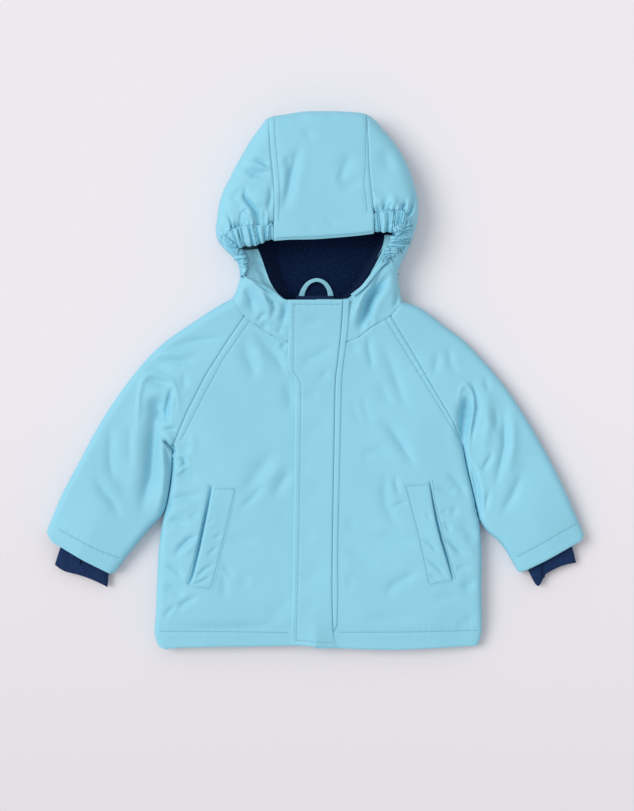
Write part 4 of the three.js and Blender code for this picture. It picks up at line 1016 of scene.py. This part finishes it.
def knit_cuff(name, table, material):
    """Flattened ribbed tube that comes out of the sleeve."""
    count = len(table) - 1
    around = np.linspace(0, 1, CUFF_COLUMNS)
    rows = rows_of(table, around * count)
    v = np.linspace(0, 1, CUFF_ROWS)[:, None]
    low = CLOTH + LYING
    half = (CUFF_TOP - low) / 2
    edge = 2 * around - 1
    up = np.sqrt(1 - np.abs(edge) ** 4)[None]
    drop = CUFF_DROP * smooth(0.7, 1, v)
    x = mix(rows[None, :, 0], rows[None, :, 2], v)
    y = mix(rows[None, :, 1], rows[None, :, 3], v)
    xy = np.stack([x, y], -1)
    width = np.hypot(*(rows[0, :2] - rows[-1, :2]))
    ribs = 0.45 * np.abs(np.sin(np.pi * around * width / RIB))[None] ** 0.7
    wave = noise(xy, 15, 71) + wrinkles(xy, CUFF_FOLDS)
    turned = 0.9 * np.clip((v - 0.93) / 0.07, 0, 1) ** 2
    layers = []
    for side in (1, -1):
        z = low + half + side * half * up - drop + side * (ribs - 0.3) * up
        z = z + (wave * up if side > 0 else 0) - side * turned * up
        layers.append(np.stack([x, y, z], -1))
    grid = np.concatenate([layers[0], layers[1][:, -2:0:-1]], 1)
    return shell(name, grid, KNIT, material, outward=0, ring=True)


def stitches(name, lines, lift, material):
    """Short rounded stitches along lines, each dipping into the cloth at both ends."""
    along_shape = np.array([-1, -0.7, 0, 0.7, 1]) / 2
    thick_shape = np.array([0.3, 0.85, 1, 0.85, 0.3])
    high_shape = np.array([-0.9, 0.0, 0.5, 0.0, -0.9])
    sides = 5
    turn = np.linspace(0, 2 * np.pi, sides, endpoint=False)
    points, faces = [], []
    rings = len(along_shape)
    for line in lines:
        full = length_of(line)
        count = int(full / STITCH_PITCH)
        middle = (np.arange(count) + 0.5) / count
        spots = np.stack([middle + a * STITCH_LENGTH / full for a in (-0.5, 0.5)], -1)
        ends = lift(at(line, spots))
        along = ends[:, 1] - ends[:, 0]
        along /= np.linalg.norm(along, axis=1, keepdims=True)
        side = np.cross(along, (0, 0, 1))
        side /= np.linalg.norm(side, axis=1, keepdims=True)
        upward = np.cross(side, along)
        centre = ends.mean(1)
        for i in range(count):
            start = len(points) * rings * sides
            spine = centre[i] + along[i] * (along_shape * STITCH_LENGTH)[:, None]
            spine = spine + upward[i] * (high_shape * STITCH_RADIUS)[:, None]
            circle = side[i] * np.cos(turn)[:, None] + upward[i] * np.sin(turn)[:, None]
            ring = circle[None] * (thick_shape * STITCH_RADIUS)[:, None, None]
            points.append((spine[:, None] + ring).reshape(-1, 3))
            for r in range(rings - 1):
                for k in range(sides):
                    a, b = start + r * sides + k, start + r * sides + (k + 1) % sides
                    faces.append((a, b, b + sides, a + sides))
    return make_mesh(name, np.concatenate(points), faces, material, sharp=80)


def on_panel(xy):
    return skin(xy, 1) + (0, 0, PANEL_LIFT)


def on_brim(xy):
    return skin(xy, 1) + (0, 0, BRIM_LIFT)


def on_flap(xy):
    return skin(xy, 1, sewing=False) + (0, 0, ON_TOP + FLAP_CLOTH + FLAP_LIFT)


def on_welt(xy):
    return skin(xy, 1, sewing=False) + (0, 0, WELT_LOW + WELT_LIFT)


# Materials
def material_of(name, colour, roughness, **settings):
    material = bpy.data.materials.new(name)
    material.use_nodes = True
    material.diffuse_color = (*colour, 1)
    shader = material.node_tree.nodes["Principled BSDF"]
    shader.inputs["Base Color"].default_value = (*colour, 1)
    shader.inputs["Roughness"].default_value = roughness
    for key, value in settings.items():
        shader.inputs[key.replace("_", " ")].default_value = value
    return material, material.node_tree, shader


def noise_node(tree, scale, detail, stretch=(1, 1, 1)):
    where = tree.nodes.new("ShaderNodeTexCoord")
    mapping = tree.nodes.new("ShaderNodeMapping")
    mapping.inputs["Scale"].default_value = stretch
    node = tree.nodes.new("ShaderNodeTexNoise")
    node.inputs["Scale"].default_value = scale
    node.inputs["Detail"].default_value = detail
    tree.links.new(where.outputs["Object"], mapping.inputs["Vector"])
    tree.links.new(mapping.outputs["Vector"], node.inputs["Vector"])
    return node.outputs[0]


def ramp_node(tree, value, stops):
    ramp = tree.nodes.new("ShaderNodeValToRGB")
    for k, (place, colour) in enumerate(stops):
        stop = ramp.color_ramp.elements[k] if k < 2 else ramp.color_ramp.elements.new(place)
        stop.position = place
        stop.color = (*colour, 1)
    tree.links.new(value, ramp.inputs["Fac"])
    return ramp.outputs["Color"]


def bump_node(tree, height, strength, distance, before=None):
    bump = tree.nodes.new("ShaderNodeBump")
    bump.inputs["Strength"].default_value = strength
    bump.inputs["Distance"].default_value = distance
    tree.links.new(height, bump.inputs["Height"])
    if before is not None:
        tree.links.new(before, bump.inputs["Normal"])
    return bump.outputs["Normal"]


def shades(colour, low, high):
    return tuple(c * low for c in colour), tuple(min(1, c * high) for c in colour)


AQUA = (0.262, 0.61, 0.75)
NAVY = (0.0018, 0.0125, 0.052)
KNIT_NAVY = (0.0065, 0.026, 0.088)
TAPE_NAVY = (0.011, 0.03, 0.09)
THREAD = tuple(c * 0.62 for c in AQUA)
PAPER = (0.8, 0.785, 0.815)


def coated_shell():
    """Matte coated cloth: faint grain and slow changes of tone."""
    material, tree, shader = material_of("coated_shell", AQUA, 0.55, Specular_IOR_Level=0.3)
    dark, light = shades(AQUA, 0.98, 1.02)
    broad = noise_node(tree, 14, 4)
    colour = ramp_node(tree, broad, [(0.3, dark), (0.7, light)])
    tree.links.new(colour, shader.inputs["Base Color"])
    rough = tree.nodes.new("ShaderNodeMapRange")
    rough.inputs["To Min"].default_value = 0.5
    rough.inputs["To Max"].default_value = 0.62
    tree.links.new(noise_node(tree, 55, 3), rough.inputs["Value"])
    tree.links.new(rough.outputs[0], shader.inputs["Roughness"])
    grain = bump_node(tree, noise_node(tree, 1500, 2), 0.22, 0.0002)
    soft = bump_node(tree, noise_node(tree, 120, 3), 0.12, 0.0012, grain)
    tree.links.new(soft, shader.inputs["Normal"])
    return material


def polar_fleece():
    """Navy fleece: small nubs of matted fibre; their colour follows their height, with painted shade between
    the nubs and painted highlight on their tips.
    """
    material, tree, shader = material_of(
        "polar_fleece", NAVY, 0.95, Sheen_Weight=0.05, Sheen_Roughness=0.45, Specular_IOR_Level=0.15
    )
    shader.inputs["Sheen Tint"].default_value = (0.25, 0.45, 0.85, 1)
    nubs = noise_node(tree, 420, 4)
    # Painted shade and highlight: the colour follows the nubs' height, darker between the nubs and lighter
    # on their tips.
    dark, light = shades(NAVY, 0.6, 1.8)
    colour = ramp_node(tree, nubs, [(0.36, dark), (0.55, NAVY), (0.74, light)])
    tree.links.new(colour, shader.inputs["Base Color"])
    fibres = bump_node(tree, noise_node(tree, 1300, 3), 0.5, 0.0006)
    tree.links.new(bump_node(tree, nubs, 0.9, 0.0022, fibres), shader.inputs["Normal"])
    return material


def rib_knit():
    material, tree, shader = material_of(
        "rib_knit", KNIT_NAVY, 0.85, Sheen_Weight=0.18, Sheen_Roughness=0.4, Specular_IOR_Level=0.2
    )
    shader.inputs["Sheen Tint"].default_value = (0.3, 0.5, 0.9, 1)
    loops = noise_node(tree, 900, 2)
    # Painted shade and highlight: the same noise sets the loops' bump and their colour, darker in the
    # hollows and lighter on the loop tops.
    dark, light = shades(KNIT_NAVY, 0.6, 1.5)
    tree.links.new(ramp_node(tree, loops, [(0.35, dark), (0.68, light)]), shader.inputs["Base Color"])
    tree.links.new(bump_node(tree, loops, 0.6, 0.0007), shader.inputs["Normal"])
    return material


def sewing_thread():
    material, tree, shader = material_of("sewing_thread", THREAD, 0.55)
    twist = noise_node(tree, 2600, 1, stretch=(1, 1, 3))
    tree.links.new(bump_node(tree, twist, 0.5, 0.0002), shader.inputs["Normal"])
    # Painted shade and highlight: the twist's colour follows its bump, darker in the grooves and lighter on
    # the ridges.
    dark, light = shades(THREAD, 0.85, 1.12)
    tree.links.new(ramp_node(tree, twist, [(0.35, dark), (0.65, light)]), shader.inputs["Base Color"])
    return material


def label_tape():
    """Plain woven tape: fine diagonal ribs."""
    material, tree, shader = material_of("label_tape", TAPE_NAVY, 0.85, Specular_IOR_Level=0.15)
    weave = noise_node(tree, 1100, 2, stretch=(3, 1, 1))
    # Painted shade and highlight: the weave's colour follows its bump, darker in the hollows and lighter on
    # the ribs.
    dark, light = shades(TAPE_NAVY, 0.75, 1.4)
    tree.links.new(ramp_node(tree, weave, [(0.38, dark), (0.66, light)]), shader.inputs["Base Color"])
    tree.links.new(bump_node(tree, weave, 0.5, 0.0004), shader.inputs["Normal"])
    return material


coat = coated_shell()
fleece = polar_fleece()
knit = rib_knit()
thread = sewing_thread()
tape = label_tape()

# Piece, the node it stands for, its material slot, and the cloth cut for what shows of it:
# width, length and area in metres and square metres
made = [
    (back(coat), "back", "coat_shell", (0.39, 0.42), 0.139),
    (front("coat_front_right", SIDE_RIGHT, RAGLAN_RIGHT, HEM_RIGHT, NECK_RIGHT, coat),
     "front_right", "coat_shell", (0.2, 0.4), 0.062),
    (front("coat_front_left", SIDE_LEFT, RAGLAN_LEFT, HEM_LEFT, NECK_LEFT, coat),
     "front_left", "coat_shell", (0.21, 0.4), 0.065),
    (sleeve("coat_sleeve_right", outer_right, inner_right, NECK_RIGHT, RAGLAN_RIGHT, SIDE_RIGHT, WRIST_RIGHT,
            NECK_BACK[1], coat), "sleeve_right", "coat_shell", (0.3, 0.34), 0.061),
    (sleeve("coat_sleeve_left", outer_left, inner_left, NECK_LEFT, RAGLAN_LEFT, SIDE_LEFT, WRIST_LEFT,
            NECK_BACK[5], coat), "sleeve_left", "coat_shell", (0.3, 0.34), 0.057),
    (knit_cuff("coat_cuff_right", CUFF_RIGHT, knit), "cuff_right", "cuff_knit", (0.12, 0.046), 0.0052),
    (knit_cuff("coat_cuff_left", CUFF_LEFT, knit), "cuff_left", "cuff_knit", (0.12, 0.044), 0.0045),
    (hood_centre(coat), "hood_centre", "coat_shell", (0.13, 0.36), 0.041),
    (hood_side("coat_hood_side_right", HOOD_SIDE_RIGHT, NECK_RIGHT, -1, UNDER_RIGHT, CASING_RIGHT,
               GATHERS_RIGHT, coat), "hood_side_right", "coat_shell", (0.2, 0.3), 0.025),
    (hood_side("coat_hood_side_left", HOOD_SIDE_LEFT, NECK_LEFT, 1, UNDER_LEFT, CASING_LEFT,
               GATHERS_LEFT, coat), "hood_side_left", "coat_shell", (0.2, 0.3), 0.025),
    (casing("coat_casing_brim", CASING_BRIM, None, coat),
     "hood_casing_brim", "coat_shell", (0.12, 0.026), 0.003),
    (casing("coat_casing_right", CASING_RIGHT, GATHERS_RIGHT, coat),
     "hood_casing_right", "coat_shell", (0.26, 0.033), 0.0075),
    (casing("coat_casing_left", CASING_LEFT, GATHERS_LEFT, coat),
     "hood_casing_left", "coat_shell", (0.27, 0.034), 0.008),
    (facing("coat_hood_facing", FACING_RIGHT, coat), "hood_facing", "coat_shell", (0.03, 0.075), 0.0016),
    (hood_lining(fleece), "hood_lining", "lining_fleece", (0.19, 0.14), 0.02),
    (storm_flap(coat), "storm_flap", "coat_shell", (0.064, 0.406), 0.02),
    (flap_band(coat), "flap_band", "coat_shell", (0.011, 0.38), 0.0027),
    (welt("coat_welt_right", WELT_RIGHT, coat), "pocket_welt_right", "coat_shell", (0.03, 0.12), 0.0035),
    (welt("coat_welt_left", WELT_LEFT, coat), "pocket_welt_left", "coat_shell", (0.03, 0.12), 0.0035),
    (hanging_loop(coat), "hanging_loop", "coat_shell", (0.011, 0.066), 0.0005),
    (neck_label(tape), "neck_label", "label_tape", (0.045, 0.01), 0.00031),
]
left_facing = facing("coat_hood_facing_left", FACING_LEFT, coat)
for piece, node, slot, flat, area in made:
    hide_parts(node)

for name, lines, lift in (
    ("stitches_panels", STITCHED, on_panel),
    ("stitches_brim", STITCHED_BRIM, on_brim),
    ("stitches_flap", STITCHED_FLAP, on_flap),
    ("stitches_welts", STITCHED_WELTS, on_welt),
):
    stitches(name, lines, lift, thread)


# Stage, light and camera
def floor():
    mesh = bpy.data.meshes.new("floor")
    half = 4.0
    corners = [(-half, -half, 0), (half, -half, 0), (half, half, 0), (-half, half, 0)]
    mesh.from_pydata(corners, [], [(0, 1, 2, 3)])
    material, tree, shader = material_of("paper_floor", PAPER, 0.9)
    where = tree.nodes.new("ShaderNodeTexCoord")
    split = tree.nodes.new("ShaderNodeSeparateXYZ")
    along = tree.nodes.new("ShaderNodeMapRange")
    along.inputs["From Min"].default_value = -0.5
    along.inputs["From Max"].default_value = 0.5
    tree.links.new(where.outputs["Object"], split.inputs["Vector"])
    tree.links.new(split.outputs["Y"], along.inputs["Value"])
    # Painted light falloff: the paper is painted darker toward its near (-Y) side and full toward the middle
    # and far side, painted shade standing in for the light falling off.
    near, far = shades(PAPER, 0.92, 1.015)
    tree.links.new(ramp_node(tree, along.outputs[0], [(0, near), (0.5, far)]), shader.inputs["Base Color"])
    mesh.materials.append(material)
    ground = bpy.data.objects.new("floor", mesh)
    ground.location.z = -0.0004
    bpy.context.scene.collection.objects.link(ground)


def sun(turn, height, strength, softness):
    """Light from one side: turn from pure left toward the hood, height over the surface, degrees."""
    light = bpy.data.lights.new("key", "SUN")
    light.energy = strength
    light.angle = softness
    light.color = (1.0, 0.99, 0.98)
    lamp = bpy.data.objects.new("key", light)
    lamp.rotation_euler = (0, math.radians(height - 90), math.radians(-turn))
    bpy.context.scene.collection.objects.link(lamp)


def camera():
    """Straight down, framed as the photograph."""
    height_mm = 811 * 1.17
    lens = bpy.data.cameras.new("camera")
    lens.lens = 85
    lens.sensor_width = 36
    distance = height_mm / 2 / (36 / 2 / 85)
    eye = bpy.data.objects.new("camera", lens)
    eye.location = (2.3 * MM, -28.7 * MM, (distance + 14) * MM)
    lens.clip_end = 20
    bpy.context.scene.collection.objects.link(eye)
    bpy.context.scene.camera = eye


floor()
sun(15, 48, 1.66, 0.65)
camera()
world = bpy.data.worlds.new("studio")
world.use_nodes = True
world.node_tree.nodes["Background"].inputs["Color"].default_value = (0.975, 0.965, 0.995, 1)
world.node_tree.nodes["Background"].inputs["Strength"].default_value = 0.66
bpy.context.scene.world = world
bpy.context.scene.view_settings.view_transform = "Standard"
